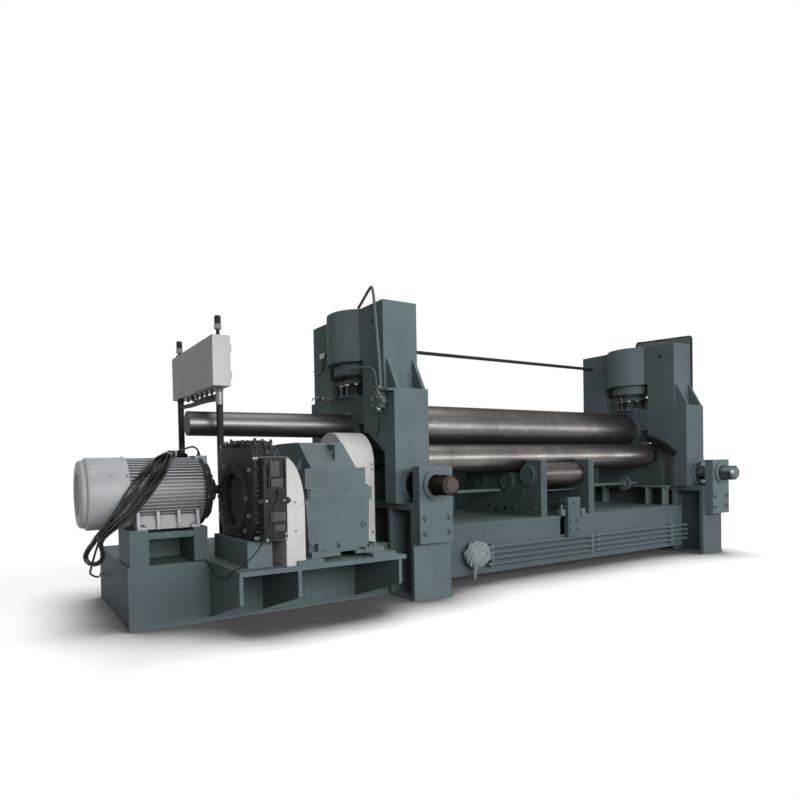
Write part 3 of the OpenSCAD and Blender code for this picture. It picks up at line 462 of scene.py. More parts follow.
def round_places(centre, radius, count, axis, start=0.0):
    """Places in millimetres spaced evenly on a circle round an axis: 0 is X, 1 is Y and 2 is Z."""
    t = start + np.arange(count) * 2 * np.pi / count
    places = np.tile(MM * np.array(centre, dtype=float), (count, 1))
    places[:, (axis + 1) % 3] += MM * radius * np.cos(t)
    places[:, (axis + 2) % 3] += MM * radius * np.sin(t)
    return places


def washer(inner, outer, low, high, axis, centre, edge=2.0):
    """A ring of square section with rounded corners, from low to high along an axis, round a centre."""
    profile = [(inner, 0), (outer - edge, 0), (outer, edge), (outer, high - low - edge),
               (outer - edge, high - low), (inner, high - low)]
    radius, height = MM * np.array(profile).T
    t = np.arange(48) * 2 * np.pi / 48
    rings = np.zeros((6, 48, 3))
    rings[..., (axis + 1) % 3] = radius[:, None] * np.cos(t)
    rings[..., (axis + 2) % 3] = radius[:, None] * np.sin(t)
    rings[..., axis] = height[:, None]
    place = MM * np.array(centre, dtype=float)
    place[axis] = MM * low
    return skin(rings + place, looped=True)


def slab(low, high, edge, axis=2):
    """A block between two corners in millimetres, with rounded edges."""
    return block(MM * np.array(low), MM * np.array(high), MM * edge, axis)


print("bolt faces:", len(bolt(0.01)[1]), "stud faces:", len(stud(0.015, 0.17, 0.13)[1]))

# %% [markdown]
# ## The press heads
# Under each cylinder a ring of studs ties the upper chock to the ram, so they rise and fall with the press.
# They are worn, darkened steel. A bolted keeper ring closes each bearing behind the roll barrel.

# %% Studs, keeper rings and column flanges
HEADS = (-2180.0, 2020.0)
make("press_studs", [stamped(stud(0.020, 0.166, 0.112), round_places((x, 0, 1791), 190, 12, 2, 0.26),
                                           (0, 0, 1)) for x in HEADS], "stud_steel", "press")
rings = [washer(150, 214, 1833.0, 1843.2, 0, (0, 0, 1522)),
         washer(150, 214, -2003.2, -1993.0, 0, (0, 0, 1522))]
screws = [stamped(cap_screw(0.009), round_places((1833.0, 0, 1522), 199, 14, 0), (-1, 0, 0)),
          stamped(cap_screw(0.009), round_places((-1993.0, 0, 1522), 199, 14, 0), (1, 0, 0))]
make("bearing_keepers", rings + screws, "dark_paint", "press")

COLUMNS = (-2131.5, 2131.5)
BRACKETS = (-2123.5, 2123.5)
flanges, heads = [], []
for x in COLUMNS:
    flanges.append(washer(112, 172, -861, -848.5, 1, (x, 0, 972), 3))
    places = round_places((x, -861, 972), 150, 8, 1, np.pi / 8)
    heads.append(stamped(cap_screw(0.013), places[np.abs(places[:, 0]) < 2.197], (0, -1, 0)))
make("column_flanges", flanges + heads, "machine_paint", "portal")
seam = [hose([(x - 175.5, -849.5, 1172), (x, -849.5, 1172.5), (x + 175.5, -849.5, 1172)],
             0.004, (0, 0.2, 1), 6) for x in (-2180, 2020)]
uprights = [hose([(x, -849.5, 1620), (x, -849.5, 1300), (x, -849.5, 1176)], 0.0035, (1, 0.1, 0), 6)
            for x in (-2355.5, 1844.5)]
make("column_welds", seam + uprights, "machine_paint", "portal")

# %% Bracket bolts and the collars where the screws pass
bracket_bolts = [stamped(cap_screw(0.021), at((s * x, -1105, z)), (0, -1, 0))
                 for s in (-1, 1) for x in (2240, 1990) for z in (699, 572)]
make("bracket_bolts", bracket_bolts, "machine_paint", "base")
collars = [washer(102, 128, -1125.5, -1112, 1, (x, 0, 972), 4) for x in BRACKETS]
make("bracket_collars", collars, "machine_paint", "base")
print("press studs:", 12 * len(HEADS), "column flanges:", len(COLUMNS))

# %% [markdown]
# ## The gear unit
# The black casting is busy: a bolted bell mouth, cooling ribs, a lip over its cover, and pipes on its back.
# Bare bolt heads stand out on it as small lights, and give the eye its scale.

# %% Bell mouth, case bolts and ribs
case_bolts = at(*[(-3738, y, z) for y, z in (
    (-1053, 928), (-1017, 699), (-438, 926), (-474, 785), (-576, 1152), (-1130, 1130), (-1100, 810),
    (-700, 660), (-880, 664))])
make("gear_unit_bolts", [
    stamped(bolt(0.017), case_bolts, (-1, 0, 0)),
    stamped(bolt(0.010), at(*[(x, -1190.5, z) for x in (-3727, -3706) for z in (662, 1204)]), (0, -1, 0)),
    stamped(bolt(0.007), at((-3690, -1304.5, 918), (-3560, -1304.5, 918)), (0, -1, 0)),
    stamped(bolt(0.008), at((-3549, -1293.5, 655), (-3549, -1293.5, 690), (-3685, -1293.5, 655)), (0, -1, 0)),
    stamped(bolt(0.014), at((-3827.5, -800, 1298), (-3790, -812, 1322)), (-1, -0.3, 0.2)),
], "zinc", "base")
mouth = [washer(190, 222, -3762, -3753, 0, (0, -800, 917), 3),
         washer(203, 223, -3745, -3739, 0, (0, -800, 917), 2)]
ribs = [slab((-3736, -1222, z), (-3702, -1188, z + 15), 3, 1) for z in range(700, 1160, 62)]
web = [slab((-3699, -1298, 1196), (-3672, -1284, 1160), 1.5, 1),
       slab((-3747, -1304, 906), (-3512, -1284, 930), 3, 0),
       slab((-3534, -1296, 896), (-3520, -1262, 940), 2, 1)]
rim_bolts = stamped(bolt(0.0115), round_places((-3764, -800, 917), 242, 12, 0, 0.26), (-1, 0, 0))
make("gear_unit_castings", mouth + ribs + web + [rim_bolts], "black_paint", "base")
strips = [slab((-3737, -1304, 1208), (-3525, -1286, 1221), 2, 0),
          slab((-3727, -1201, 990), (-3718, -1188, 1200), 1.5)]
covers = [slab((-3651, -1299, 1011), (-3570, -1291, 1064), 1.5, 1),
          slab((-3660, -1299, 780), (-3552, -1291, 840), 1.5, 1),
          slab((-3632, -1299, 712), (-3560, -1291, 755), 1.5, 1),
          slab((-3655, -1296, 1084), (-3590, -1284, 1190), 1.5, 1)]
dish = turned([(0.205, 0), (0.205, 0.004), (0.19, 0.008), (0.13, 0.014), (0.07, 0.015), (0.03, 0.018)], 48)
dish = stamped(dish, at((-3706, -800, 917)), (-1, 0, 0))
make("gear_unit_plates", strips + covers + [dish], "grey_plate", "base")

# %% Lubrication pipes and fittings on top of the gear unit
lines = [
    hose([(-3825, -806, 1299), (-3790, -815, 1316), (-3740, -835, 1326), (-3680, -850, 1331),
          (-3610, -900, 1327), (-3570, -985, 1328), (-3556, -1050, 1322)], 0.008),
    hose([(-3800, -826, 1288), (-3760, -880, 1312), (-3720, -960, 1332), (-3655, -1010, 1331),
          (-3610, -1090, 1328), (-3590, -1150, 1308), (-3584, -1196, 1262), (-3584, -1203, 1215)], 0.007),
    hose([(-3725, -1060, 1322), (-3690, -1090, 1330), (-3650, -1130, 1324), (-3640, -1180, 1282),
          (-3650, -1201, 1240)],
         0.0065),
    hose([(-3700, -700, 1332), (-3640, -760, 1334), (-3580, -850, 1332), (-3548, -960, 1326)], 0.009)]
make("gear_unit_lines", lines, "cable_black", "base", 70)
lumps = at(
    (-3815, -812, 1306), (-3755, -812, 1318), (-3738, -1000, 1298), (-3707, -1157, 1290),
    (-3633, -1151, 1296), (-3598, -1176, 1268), (-3640, -1192, 1236), (-3690, -1100, 1326),
    (-3600, -1010, 1324), (-3570, -900, 1322), (-3660, -870, 1322), (-3720, -930, 1320),
    (-3580, -1120, 1316), (-3675, -1192, 1250), (-3560, -1192, 1246))
make("gear_unit_fittings", [
    stamped(gland(0.017, 0.013, 0.008, 0.04), lumps[:7], (-0.3, -0.5, 0.8)),
    stamped(gland(0.015, 0.012, 0.007, 0.026), lumps[7:], (0.1, -0.25, 0.95)),
    stamped(bolt(0.013), lumps[[0, 3, 5, 8, 10]] + (0.02, 0.015, -0.004), (-0.2, -0.6, 0.75)),
    slab((-3740, -1150, 1290), (-3600, -1020, 1318), 8), slab((-3690, -900, 1318), (-3600, -760, 1338), 8),
    slab((-3652, -1206, 1226), (-3572, -1186, 1262), 5),
], "black_paint", "base")
print("gear unit lines:", len(lines), "fittings:", len(lumps))

# %% [markdown]
# ## The motor
# The fan cowl is a thin pressed shell. Its surface is one closed profile turned round the shaft: out over the
# rolled edge, back inside, and home. Behind its mouth are a wire guard and a fan, as on motors of this kind.

# %% Fan cowl, guard and fan
COWL = MM * np.array([
    (152, 15), (166, 4), (186, 0), (206, 0.5), (222, 3), (234, 9), (240, 18), (242, 28), (243, 42), (248, 46),
    (255, 49), (259, 55), (260, 64), (260, 100), (260, 300), (258.4, 306), (260, 312), (260, 317.7),
    (257, 317.7), (257, 66), (253, 55), (243, 51), (238, 47), (237, 24), (230, 12), (220, 7), (204, 4.5),
    (186, 4), (170, 8), (155, 18)])
COWL_AT = (COWL_LOW[0], MOTOR_Y, MOTOR_Z)


def turned_shell(profile, count):
    """The same turning for a closed profile, so that the surface has an inside and an outside."""
    t = np.arange(count) * 2 * np.pi / count
    radius, height = profile.T
    return skin(np.stack([radius[:, None] * np.cos(t), radius[:, None] * np.sin(t),
                          np.broadcast_to(height[:, None], (len(profile), count))], axis=-1), looped=True)


def wire_ring(centre, radius, wire):
    """A wire bent to a circle round the motor's axis."""
    path = round_places(np.array(centre) / MM, radius / MM, 40, 0)
    return tube(path, wire, (1, 0, 0), 6, looped=True)


def blade(angle):
    """A flat blade leaned back by a twist that grows along its length."""
    r = np.linspace(0.05, 0.205, 6)[:, None]
    lean = angle + 0.25 * (r - 0.05) / 0.155
    depth = np.array([-0.035, 0.035, 0.036, -0.034])[None]
    thick = np.array([-0.0015, -0.0015, 0.0015, 0.0015])[None]
    return np.stack([r * np.cos(lean) - thick * np.sin(lean), r * np.sin(lean) + thick * np.cos(lean),
                     0.08 + depth + 0 * r], axis=-1)


make("motor_cowl", stamped(turned_shell(COWL, 96), COWL_AT, (1, 0, 0)), "motor_paint", "base",
     30, replaces=("fan_cowl",))
guard_at = np.array(COWL_AT) + (0.012, 0, 0)
guard_r = 0.158
spokes = [rod(guard_at, guard_at + (0, guard_r * math.cos(a), guard_r * math.sin(a)), 0.0022)
          for a in np.arange(8) * np.pi / 4]
wires = [wire_ring(guard_at, r, 0.0016) for r in np.arange(0.03, guard_r, 0.0115)]
make("cowl_guard", wires + spokes, "motor_paint", "base", 60)
blades = [stamped(skin(blade(a)), COWL_AT, (1, 0, 0)) for a in np.arange(9) * 2 * np.pi / 9]
hub = turned([(0.03, 0.04), (0.062, 0.045), (0.066, 0.06), (0.066, 0.12), (0.03, 0.125)], 32)
make("cooling_fan", blades + [stamped(hub, COWL_AT, (1, 0, 0))], "dark_void", "base")

# %% End shield, feet and terminal box
shield = MM * np.array([(90, 3), (218, 3), (224, -3), (224, -43), (258, -43.5), (264.5, -48), (264.5, -68),
                           (262, -68), (262, -46), (221.5, -41), (221.5, 0.5), (90, 0.5)])
make("motor_end_shield", stamped(turned_shell(shield, 72), (-3.8355, MOTOR_Y, MOTOR_Z), (1, 0, 0)),
     "black_paint", "base", 30)
shield_bolts = np.vstack([round_places((x, 1e3 * MOTOR_Y, 1e3 * MOTOR_Z), r, 8, 0, 0.2)
                          for x, r in ((-3879, 243), (-3832.5, 196))])
foot_bolts = at(*[(x, y, 735) for x in (-4350, -3975) for y in (-592, -148)])
cowl_screws = round_places((-4442, 1e3 * MOTOR_Y, 1e3 * MOTOR_Z), 260, 6, 0, 0.55)
make("motor_bolts", [stamped(bolt(0.012), shield_bolts, (1, 0, 0)),
                     stamped(bolt(0.016), foot_bolts, (0, 0, 1)),
                     stamped(cap_screw(0.007), cowl_screws, cowl_screws * (0, 1, 1) - (0, MOTOR_Y, MOTOR_Z))],
     "zinc", "base")
lugs = [slab((x - 34, y - 20, 714), (x + 34, y + 20, 735), 4) for x in (-4350, -3975) for y in (-592, -148)]
make("motor_feet", lugs, "motor_paint", "base")
print("cowl points:", 96 * len(COWL))

# %% [markdown]
# ## Junction box, posts and frame pipes
# The pale box is carried by two black posts. Its lid faces away from the motor, on hinges and a latch.
# The post heads pass through the box and end in black caps. Grey nuts and sleeves clamp them above and below.

# %% Box fittings
post_near, post_far = (-3659.8, -230), (-3729.8, 740)
make("post_nuts", [
    stamped(turned([(0.030, 0), (0.034, 0.003), (0.034, 0.025), (0.030, 0.028)], 24, 1.0),
            at((*post_near, 1769.5)), (0, 0, 1)),
    washer(27.5, 30.5, 1664, 1769, 2, (*post_near, 0), 1),
    stamped(turned([(0.027, 0), (0.031, 0.003), (0.031, 0.04), (0.028, 0.044)], 24, 1.0),
            at((*post_near, 2277), (*post_far, 2231)), (0, 0, 1)),
], "grey_sleeve", "base")
make("post_caps", [
    stamped(turned([(0.024, 0), (0.0265, 0.003), (0.0265, 0.062), (0.024, 0.068), (0.010, 0.070)], 24),
            at((*post_near, 2316), (*post_far, 2272)), (0, 0, 1)),
    stamped(turned([(0.031, 0), (0.033, 0.003), (0.033, 0.024), (0.031, 0.028)], 24, 1.0),
            at((*post_far, 1769.5)), (0, 0, 1)),
    hose([(-3665, -200, 1716), (-3690, 120, 1722), (-3712, 420, 1716), (-3728, 712, 1722)], 0.020,
         (0.9, 0, 0.4)),
    hose([(-3672, -205, 1744), (-3694, 100, 1748), (-3700, 300, 1742), (-3704, 420, 1775),
          (-3704, 430, 1797)], 0.012,
         (0.95, 0, 0.3)),
], "black_paint", "base")
collars = [washer(27, 33, 2199, top, 2, (*post, 0), 1.5)
           for post, top in ((post_near, 2212), (post_far, 2210))]
make("post_collars", collars, "red_plastic", "base")
glands = at(*[(-3690 + 24 * (k % 2), y, 1798) for k, y in enumerate(range(-120, 640, 74))])
make("box_glands", [
    stamped(gland(0.015, 0.012, 0.008, 0.036), glands, (0, 0, -1)),
    stamped(turned([(0.017, 0), (0.017, 0.012), (0.012, 0.014), (0.012, 0.03)], 16),
            at((-3668, -60, 1722), (-3700, 250, 1724)), (0, 1, 0)),
], "oily_steel", "base")
seam_x = -3617.8
make("box_lid", [slab((seam_x - 1, -398, 1810), (seam_x + 4, 893, 2186), 2, 0)]
     + [slab((seam_x + 2, -404, z), (seam_x + 12, -384, z + 60), 3) for z in (1860, 2070)]
     + [slab((seam_x + 2, 868, 1980), (seam_x + 14, 888, 2020), 3)], "cabinet_paint", "base")

# %% Fittings of the frame pipes, the small box and its lead
clamps = [slab((-2424, -705, 1806), (-2357, -560, 1817), 2, 1),
          slab((-2424, -640, 1700), (-2357, -618, 1780), 3, 1)]
make("pipe_clamps", clamps, "machine_paint", "portal")
spots = at((-2402, -668, 1785), (-2408, -668, 1735), (-2402, -640, 1765), (-2404, -690, 1700),
           (-2398, -640, 1715), (-2400, -668, 1655), (-2396, -610, 1740))
make("pipe_valves", [
    stamped(bolt(0.02), at((-2366, -520, 1735), (-2366, -545, 1700), (-2420, -700, 1735)), (-1, -0.3, 0.1)),
    slab((-2398, -600, 1655), (-2357, -530, 1735), 8), slab((-2418, -650, 1640), (-2380, -612, 1668), 6),
    stamped(turned([(0.012, 0), (0.019, 0.004), (0.019, 0.022), (0.013, 0.026), (0.013, 0.05), (0.017, 0.052),
                    (0.017, 0.062), (0.011, 0.066)], 18, [1, 1, 1, 0, 0, 1, 1, 1]), spots[:5],
            (-0.2, -0.75, 0.5)),
    stamped(turned([(0.015, 0), (0.022, 0.004), (0.022, 0.03), (0.014, 0.034)], 18, 1.0), spots[5:],
            (0, 0, -1)),
    stamped(gland(0.016, 0.012, 0.008, 0.04), at((-2362, 430, 1826), (-2362, 300, 1800), (-2362, 560, 1846)),
            (-1, 0.2, 0.2)),
    slab((-2378, 400, 2240), (-2356, 520, 2292), 5)], "zinc", "portal")
leads = [hose([(-2364, 455, 2242), (-2364, 462, 2190), (-2363, 490, 2130), (-2362, 600, 2110),
               (-2362, 690, 2140)], 0.006,
              (1, 0.2, 0.1)),
         hose([(-2366, 430, 1826), (-2372, 380, 1800), (-2368, 320, 1812), (-2370, 300, 1800)], 0.006,
              (1, 0.1, 0.2)),
         hose([(-2366, 560, 1846), (-2374, 620, 1836), (-2368, 690, 1860), (-2364, 740, 1840)], 0.006,
              (1, 0.1, 0.2)),
         hose([(-2400, -668, 1655), (-2398, -662, 1600), (-2380, -640, 1520), (-2366, -600, 1450),
               (-2361, -560, 1400)],
              0.004, (1, 0.2, 0.1))]
make("frame_leads", leads, "cable_black", "portal", 70)
print("frame fittings:", len(spots))

# %% [markdown]
# ## Between the frames
# Each support roll turns in plates whose caps are held by a ring of screws. Under them the base is plain
# plate, with gussets where the load comes down. Pipes run along the beam to an end still in its film.

# %% Support plate screws, painted slot shades and the centre bracket
caps = [(-535.2, 1009.6), (-223.7, 945.4), (223.7, 945.4), (535.2, 1009.6)]
cap_rings = [washer(84, 100, -512.5, -509, 0, (0, y, z), 1.5) for y, z in caps]
cap_rings += [washer(84, 100, 349, 352.5, 0, (0, y, z), 1.5) for y, z in caps]
make("support_cap_rings", cap_rings, "dark_paint", "base")
screws = [stamped(cap_screw(0.0075), round_places((x, y, z), 92, 12, 0), (s, 0, 0))
          for x, s in ((-512.5, -1), (352.5, 1)) for y, z in caps]
plate_bolts = ((-342, 663), (-634, 661), (-458, 838), (342, 663), (634, 661))
screws += [stamped(bolt(0.016), at(*[(x, y, z) for y, z in plate_bolts]), (s, 0, 0))
           for x, s in ((-487.5, -1), (327.5, 1))]
make("support_screws", screws, "dark_paint", "base")
# Painted shade: thin near-black slabs on the plate face stand for the dark insides of slots.
painted_slot_shades = [slab((-489.5, y - 22, z - 15), (-486, y + 22, z + 15), 1.5)
         for y, z in ((87, 657), (-177, 647), (-30, 616))]
make("painted_support_plate_slot_shades", painted_slot_shades, "dark_void", "base")
centre = at(*[(x, s * 787, z) for s in (-1, 1) for x in (-140, -30) for z in (520, 425)],
            *[(-85, s * 787, 705) for s in (-1, 1)])
make("centre_bracket_bolts", stamped(bolt(0.014), centre, np.sign(centre) * (0, 1, 0)), "dark_paint", "base")
dogs = [slab((x, s * 765, 576), (x + 60, s * 700, 640), 5) for s in (-1, 1) for x in (-250, 60)]
dogs += [slab((-235, s * 748, 640), (-205, s * 720, 690), 5) for s in (-1, 1)]
make("centre_dogs", dogs, "machine_paint", "base")

# %% Stiffeners and bolts on the inner faces of the legs, and the closing plates
stays = [slab((s * 1780, y - 8, 577), (s * 1906.5, y + 8, 796), 2) for s in (-1, 1)
         for y in (-560, -330, 330, 560)]
ledges = [slab((s * 1790, -612, 796), (s * 1906.5, 612, 814), 3) for s in (-1, 1)]
make("leg_ledges", stays + ledges, "machine_paint", "base")
ledge_bolts = at(*[(s * 1835, y, 796) for s in (-1, 1) for y in (-590, -470, -400, -240, 240, 400, 470, 590)])
make("ledge_bolts", stamped(bolt(0.016), ledge_bolts, (0, 0, -1)), "zinc", "base")
apron = [slab((-1906, 712, 576), (-420, 722, 1030), 3, 0), slab((-1906, 711, 1018), (-420, 738, 1032), 3, 0)]
apron += [slab((x, 722, 576), (x + 12, 738, 1018), 2) for x in (-1560, -1180, -800, -434)]
make("rear_apron", apron, "machine_paint", "base")
web = slab((-4312.8, -172, 457.5), (-3991.8, -160, 712), 2, 0)
make("stand_web", web, "machine_paint", "base")


# %% Pleated covers beside the roll necks
def pleated(route, reach, pleats):
    """A bellows: square rings along a route, every other one drawn in, with its corners cut."""
    line = smooth(at(*route), 12)
    path = evenly(line, length_of(line) / (2 * pleats))
    heading = unit(np.gradient(path, axis=0))
    across = np.broadcast_to(np.array([1.0, 0.0, 0.0]), path.shape)
    over = np.cross(heading, across)
    corner = np.array([(1, 0.75), (0.75, 1), (-0.75, 1), (-1, 0.75)])
    corner = np.vstack([corner, -corner])
    swell = np.where(np.arange(len(path)) % 2, 1.0, 0.8)[:, None, None]
    steps = MM * np.array(reach) * corner[None] * swell
    return skin(path[:, None] + steps[..., :1] * across[:, None] + steps[..., 1:] * over[:, None])


droop = ((312, 1418), (405, 1392), (540, 1330), (640, 1256), (700, 1196))
covers = [pleated([(x, side * y, z) for y, z in droop], (18.5, 46), 10)
          for x in (1824.3, -1983.8) for side in (-1, 1)]
make("pleated_covers", covers, "rubber_cloth", "base", 20)
print("ledges, apron and", len(covers), "pleated covers")

# %% Pipes along the beam
PIPES = (335, 281, 227, 173)
unions = [stamped(turned([(0.019, 0), (0.021, 0.003), (0.021, 0.022), (0.0175, 0.03)], 16, [1, 1, 1, 0]),
                  at(*[(x, -765, z) for z in PIPES]), (s, 0, 0))
          for x, s in ((-1236, -1), (1952, -1), (300, 1))]
make("pipe_unions", unions, "machine_paint", "base")
saddles = [slab((x, -786, 152), (x + 30, -781, 356), 2, 2) for x in (-1238, 190, 1618)]
make("pipe_saddles", saddles, "machine_paint", "base")
saddle_bolts = at(*[(x + 15, -786, z) for x in (-1238, 190, 1618) for z in (308, 200)])
make("saddle_bolts", stamped(cap_screw(0.008), saddle_bolts, (0, -1, 0)), "dark_paint", "base")


# %% Film wrapped round the pipe ends
CREASES = ((3.1, 0.17, 0.4), (6.3, 0.13, 1.9), (14.7, 0.075, 3.1), (31.0, 0.05, 0.8), (57.0, 0.02, 2.2))


def crumpled(centre, half, rows, count):
    """An ellipsoid pushed in and out by creases: sharp ridges 1 - |sin| summed at each pitch."""
    v = np.linspace(0.06, np.pi - 0.06, rows)[:, None]
    u = (np.arange(count) * 2 * np.pi / count)[None]
    way = np.stack([np.sin(v) * np.cos(u), np.sin(v) * np.sin(u), np.cos(v) + 0 * u], axis=-1)
    ridges = 0.0
    for pitch, depth, lean in CREASES:
        mix = way @ np.array([np.sin(lean), np.cos(1.7 * lean), np.sin(2.3 * lean + 1)])
        cross = way @ np.array([np.cos(2.1 * lean), np.sin(lean + 2), np.cos(lean)])
        sharp = 0.6 - np.abs(np.sin(pitch * mix + lean))
        ridges = ridges + depth * sharp * (0.6 + 0.4 * np.cos(pitch * cross))
    return skin(MM * np.array(centre) + way * (1 + ridges)[..., None] * MM * np.array(half))


tail = smooth(at((-1440, -795, 215), (-1452, -800, 180), (-1460, -792, 130), (-1452, -786, 90),
                 (-1446, -782, 52)), 8)
spread_of_tail = np.linspace(0.026, 0.011, len(tail)) * (1 + 0.25 * np.sin(np.arange(len(tail)) * 1.3))
make("pipe_film", [crumpled((-1413, -784, 286), (150, 50, 120), 130, 190),
                   tube(tail, spread_of_tail, (1, 0, 0), 10),
                   crumpled((-1330, -776, 280), (80, 40, 96), 50, 70)], "film", "base", 24,
     replaces=("pipe_wrap",))
print("film creased in", len(CREASES), "pitches; unions:", 3 * len(PIPES))


# %% Mesh guard behind the far frame
def mesh_guard(x=2.2035, gap=0.0165, wire=0.0068):
    """Woven wires, over and under their neighbours: x = wire cos(pi (distance / gap + its own number))."""
    edge = at((0, -705, 2650), (0, -685, 2685), (0, -640, 2692), (0, 20, 2731), (0, 70, 2728),
              (0, 90, 2696))[:, 1:]
    pieces = []
    for k, y in enumerate(np.arange(-0.705 + gap, 0.09, gap)):
        run = np.arange(1.99 if y < -0.35 else 2.605, np.interp(y, edge[:, 0], edge[:, 1]) - 0.004, gap / 2)
        path = np.stack([x + wire * np.cos(np.pi * (run / gap + k)), 0 * run + y, run], axis=-1)
        pieces.append(tube(path, wire, (0, 1, 0), 5))
    slope = np.linspace(-0.705, 0.02, 30)
    rise = np.interp(slope, edge[:, 0], edge[:, 1])
    for k, z in enumerate(np.arange(1.99 + gap, 2.735, gap)):
        left = -0.705 if z < 2.65 else np.interp(z, rise, slope)
        run = np.arange(left, -0.35 if z < 2.605 else 0.085, gap / 2)
        path = np.stack([x - wire * np.cos(np.pi * (run / gap + k)), run, 0 * run + z], axis=-1)
        pieces.append(tube(path, wire, (0, 0, 1), 5))
    return pieces


outline = at(*[(2203.5, y, z) for y, z in (
    (-705, 1990), (-705, 2320), (-705, 2640), (-698, 2672), (-676, 2688), (-640, 2690), (-300, 2709),
    (20, 2728), (62, 2726), (82, 2711), (90, 2688), (90, 2640), (90, 2605), (-130, 2605), (-350, 2605),
    (-350, 2300), (-350, 1990), (-520, 1990))])
net_rim = tube(outline, 0.0085, (1, 0, 0), 10, looped=True)
net_clips = [slab((2196, y - 14, z), (2209, y + 14, z + 30), 3) for z in (2040, 2420) for y in (-600, -450)]
make("mesh_guard_net", mesh_guard() + [net_rim] + net_clips, "net_black", "portal", 60,
     replaces=("mesh_guard",))

# %% [markdown]
# ## Reducer, guards and base
# The gear case is split at its flange, with bolts above and below the joint, and stands on bolted feet.
# The sheet-metal guards are hemmed and split at the shaft height, so that they can be lifted off.

# %% Reducer bolts, gauge and feet
flange_bolts = at(*[(x, y, 985.5) for x in (-3262, -3134, -3006, -2880, -2815) for y in (-1128, 158)],
                  *[(x, y, 985.5) for x in (-3290, -2795) for y in (-900, -620, -340, -80)])
below = flange_bolts * (1, 1, 0) + (0, 0, 0.8855)
feet = at(*[(x, y, 527.5) for x in (-3250, -2800) for y in (-1170, -1085, 110, 190)])
make("reducer_bolts", [stamped(bolt(0.017), flange_bolts, (0, 0, 1)), stamped(bolt(0.017), below, (0, 0, -1)),
                       stamped(bolt(0.02), feet, (0, 0, 1))], "machine_paint", "base")
plugs = [stamped(bolt(0.018), at((-3300, -1160.5, 590), (-3060, -1160.5, 560)), (0, -1, 0)),
         washer(12, 24, -1166, -1159, 1, (-2850, 0, 700), 2)]
make("reducer_plugs", plugs, "machine_paint", "base")
wedge = [slab((x - 60, y, 487.5), (x + 60, y + 32, 512), 4) for x in (-3150, -2900) for y in (-1215, 205)]
make("reducer_chocks", wedge, "machine_paint", "base")

# %% Guard hems, joints and screws
low, high = [1e3 * c for c in corners("coupling_guard")]
joint = [slab((low[0] - 2, low[1] + 40, 868), (high[0] + 2, low[1] - 2.5, 874), 1.2, 0),
         slab((low[0] + 1, low[1] - 6, 872), (low[0] + 16, low[1] + 14, 900), 2)]
make("coupling_guard_joint", joint, "guard_paint", "base")
low, high = [1e3 * c for c in corners("gear_guards")]
hems = [slab((low[0] - 1.5, low[1] - 2, 1126), (high[0] + 1.5, low[1] + 30, 1133), 1.5, 0),
        slab((low[0] - 1.5, high[1] - 30, 1126), (high[0] + 1.5, high[1] + 2, 1133), 1.5, 0)]
make("gear_guard_hems", hems, "guard_paint", "base")
hem_screws = at(*[(x, -608, z) for x in (-2690, -2450) for z in (1152, 1108, 560)])
make("guard_screws", [
    stamped(cap_screw(0.008), hem_screws, (0, -1, 0)),
    stamped(cap_screw(0.007), at(*[(-3462, -1261, z) for z in (700, 900)]), (0, -1, 0)),
    stamped(bolt(0.012), at((-3392, -1258, 885)), (1, 0, 0)),
], "zinc", "base")

# %% Weld beads of the base
beads = [hose([(x, s * 730.8, 90), (x, s * 731.5, 330), (x, s * 731, 570)], 0.005, (1, 0, 0.1), 6)
         for s in (-1, 1) for x in (-1905, 1905)]
beads += [hose([(-4456, -622, 3), (-4456.5, -622, 230), (-4456, -622, 455)], 0.004, (1, 0, 0.1), 6)]
beads += [hose([(-4439, -611, 459), (-4376, -611, 460), (-4313, -611, 459)], 0.005, (0, 0.3, 1), 6),
          hose([(-3991, -611, 459), (-3940, -611, 460), (-3892, -611, 459)], 0.005, (0, 0.3, 1), 6),
          hose([(-3785, -1181, 459), (-3700, -1181, 460), (-3610, -1181, 459)], 0.005, (0, 0.3, 1), 6)]
make("base_welds", beads, "machine_paint", "base")
print("pieces so far:", len(PAINT_LATER))

# %% [markdown]
# ## Floor and light
# A studio sweep is only a pale floor. Near the machine it is a matt surface that takes the shadow, and a
# painted shadow is added there: its colour and its own glow darken where the machine stands close over or
# beside it.
# Further out it fades into plain white, as the world behind it, so that no horizon shows.
# Two long lamps stand in front, end to end and low: they draw the bright line along every roll.
# A third hangs over the machine and lights the tops.

# %% Node helpers
def new_material(name):
    material = bpy.data.materials.new(name)
    material.use_nodes = True
    tree = material.node_tree
    shader = tree.nodes["Principled BSDF"]
    return material, tree, shader


def add(tree, kind, inputs=None, **settings):
    """A node of that kind with its settings, and its inputs set by name or number, by value or by a link."""
    made = tree.nodes.new(kind)
    for key, value in settings.items():
        setattr(made, key, value)
    for key, value in (inputs or {}).items():
        socket = made.inputs[key]
        if isinstance(value, bpy.types.NodeSocket):
            tree.links.new(value, socket)
        else:
            socket.default_value = value
    return made


def maths(tree, operation, a, b=0.0):
    return add(tree, "ShaderNodeMath", {0: a, 1: b}, operation=operation).outputs[0]


def product(tree, a, b):
    return maths(tree, "MULTIPLY", a, b)


def total(tree, a, b):
    return maths(tree, "ADD", a, b)


def spread(tree, value, low, high, to_low=0.0, to_high=1.0):
    """The value stretched so that low to high becomes to_low to to_high, and held at the ends."""
    return add(tree, "ShaderNodeMapRange", {0: value, 1: low, 2: high, 3: to_low, 4: to_high}).outputs[0]


def blend_colour(tree, amount, a, b):
    made = tree.nodes.new("ShaderNodeMix")
    made.data_type = "RGBA"
    for socket, value in ((made.inputs[0], amount), (made.inputs[6], a), (made.inputs[7], b)):
        if isinstance(value, bpy.types.NodeSocket):
            tree.links.new(value, socket)
        else:
            socket.default_value = value
    return made.outputs[2]


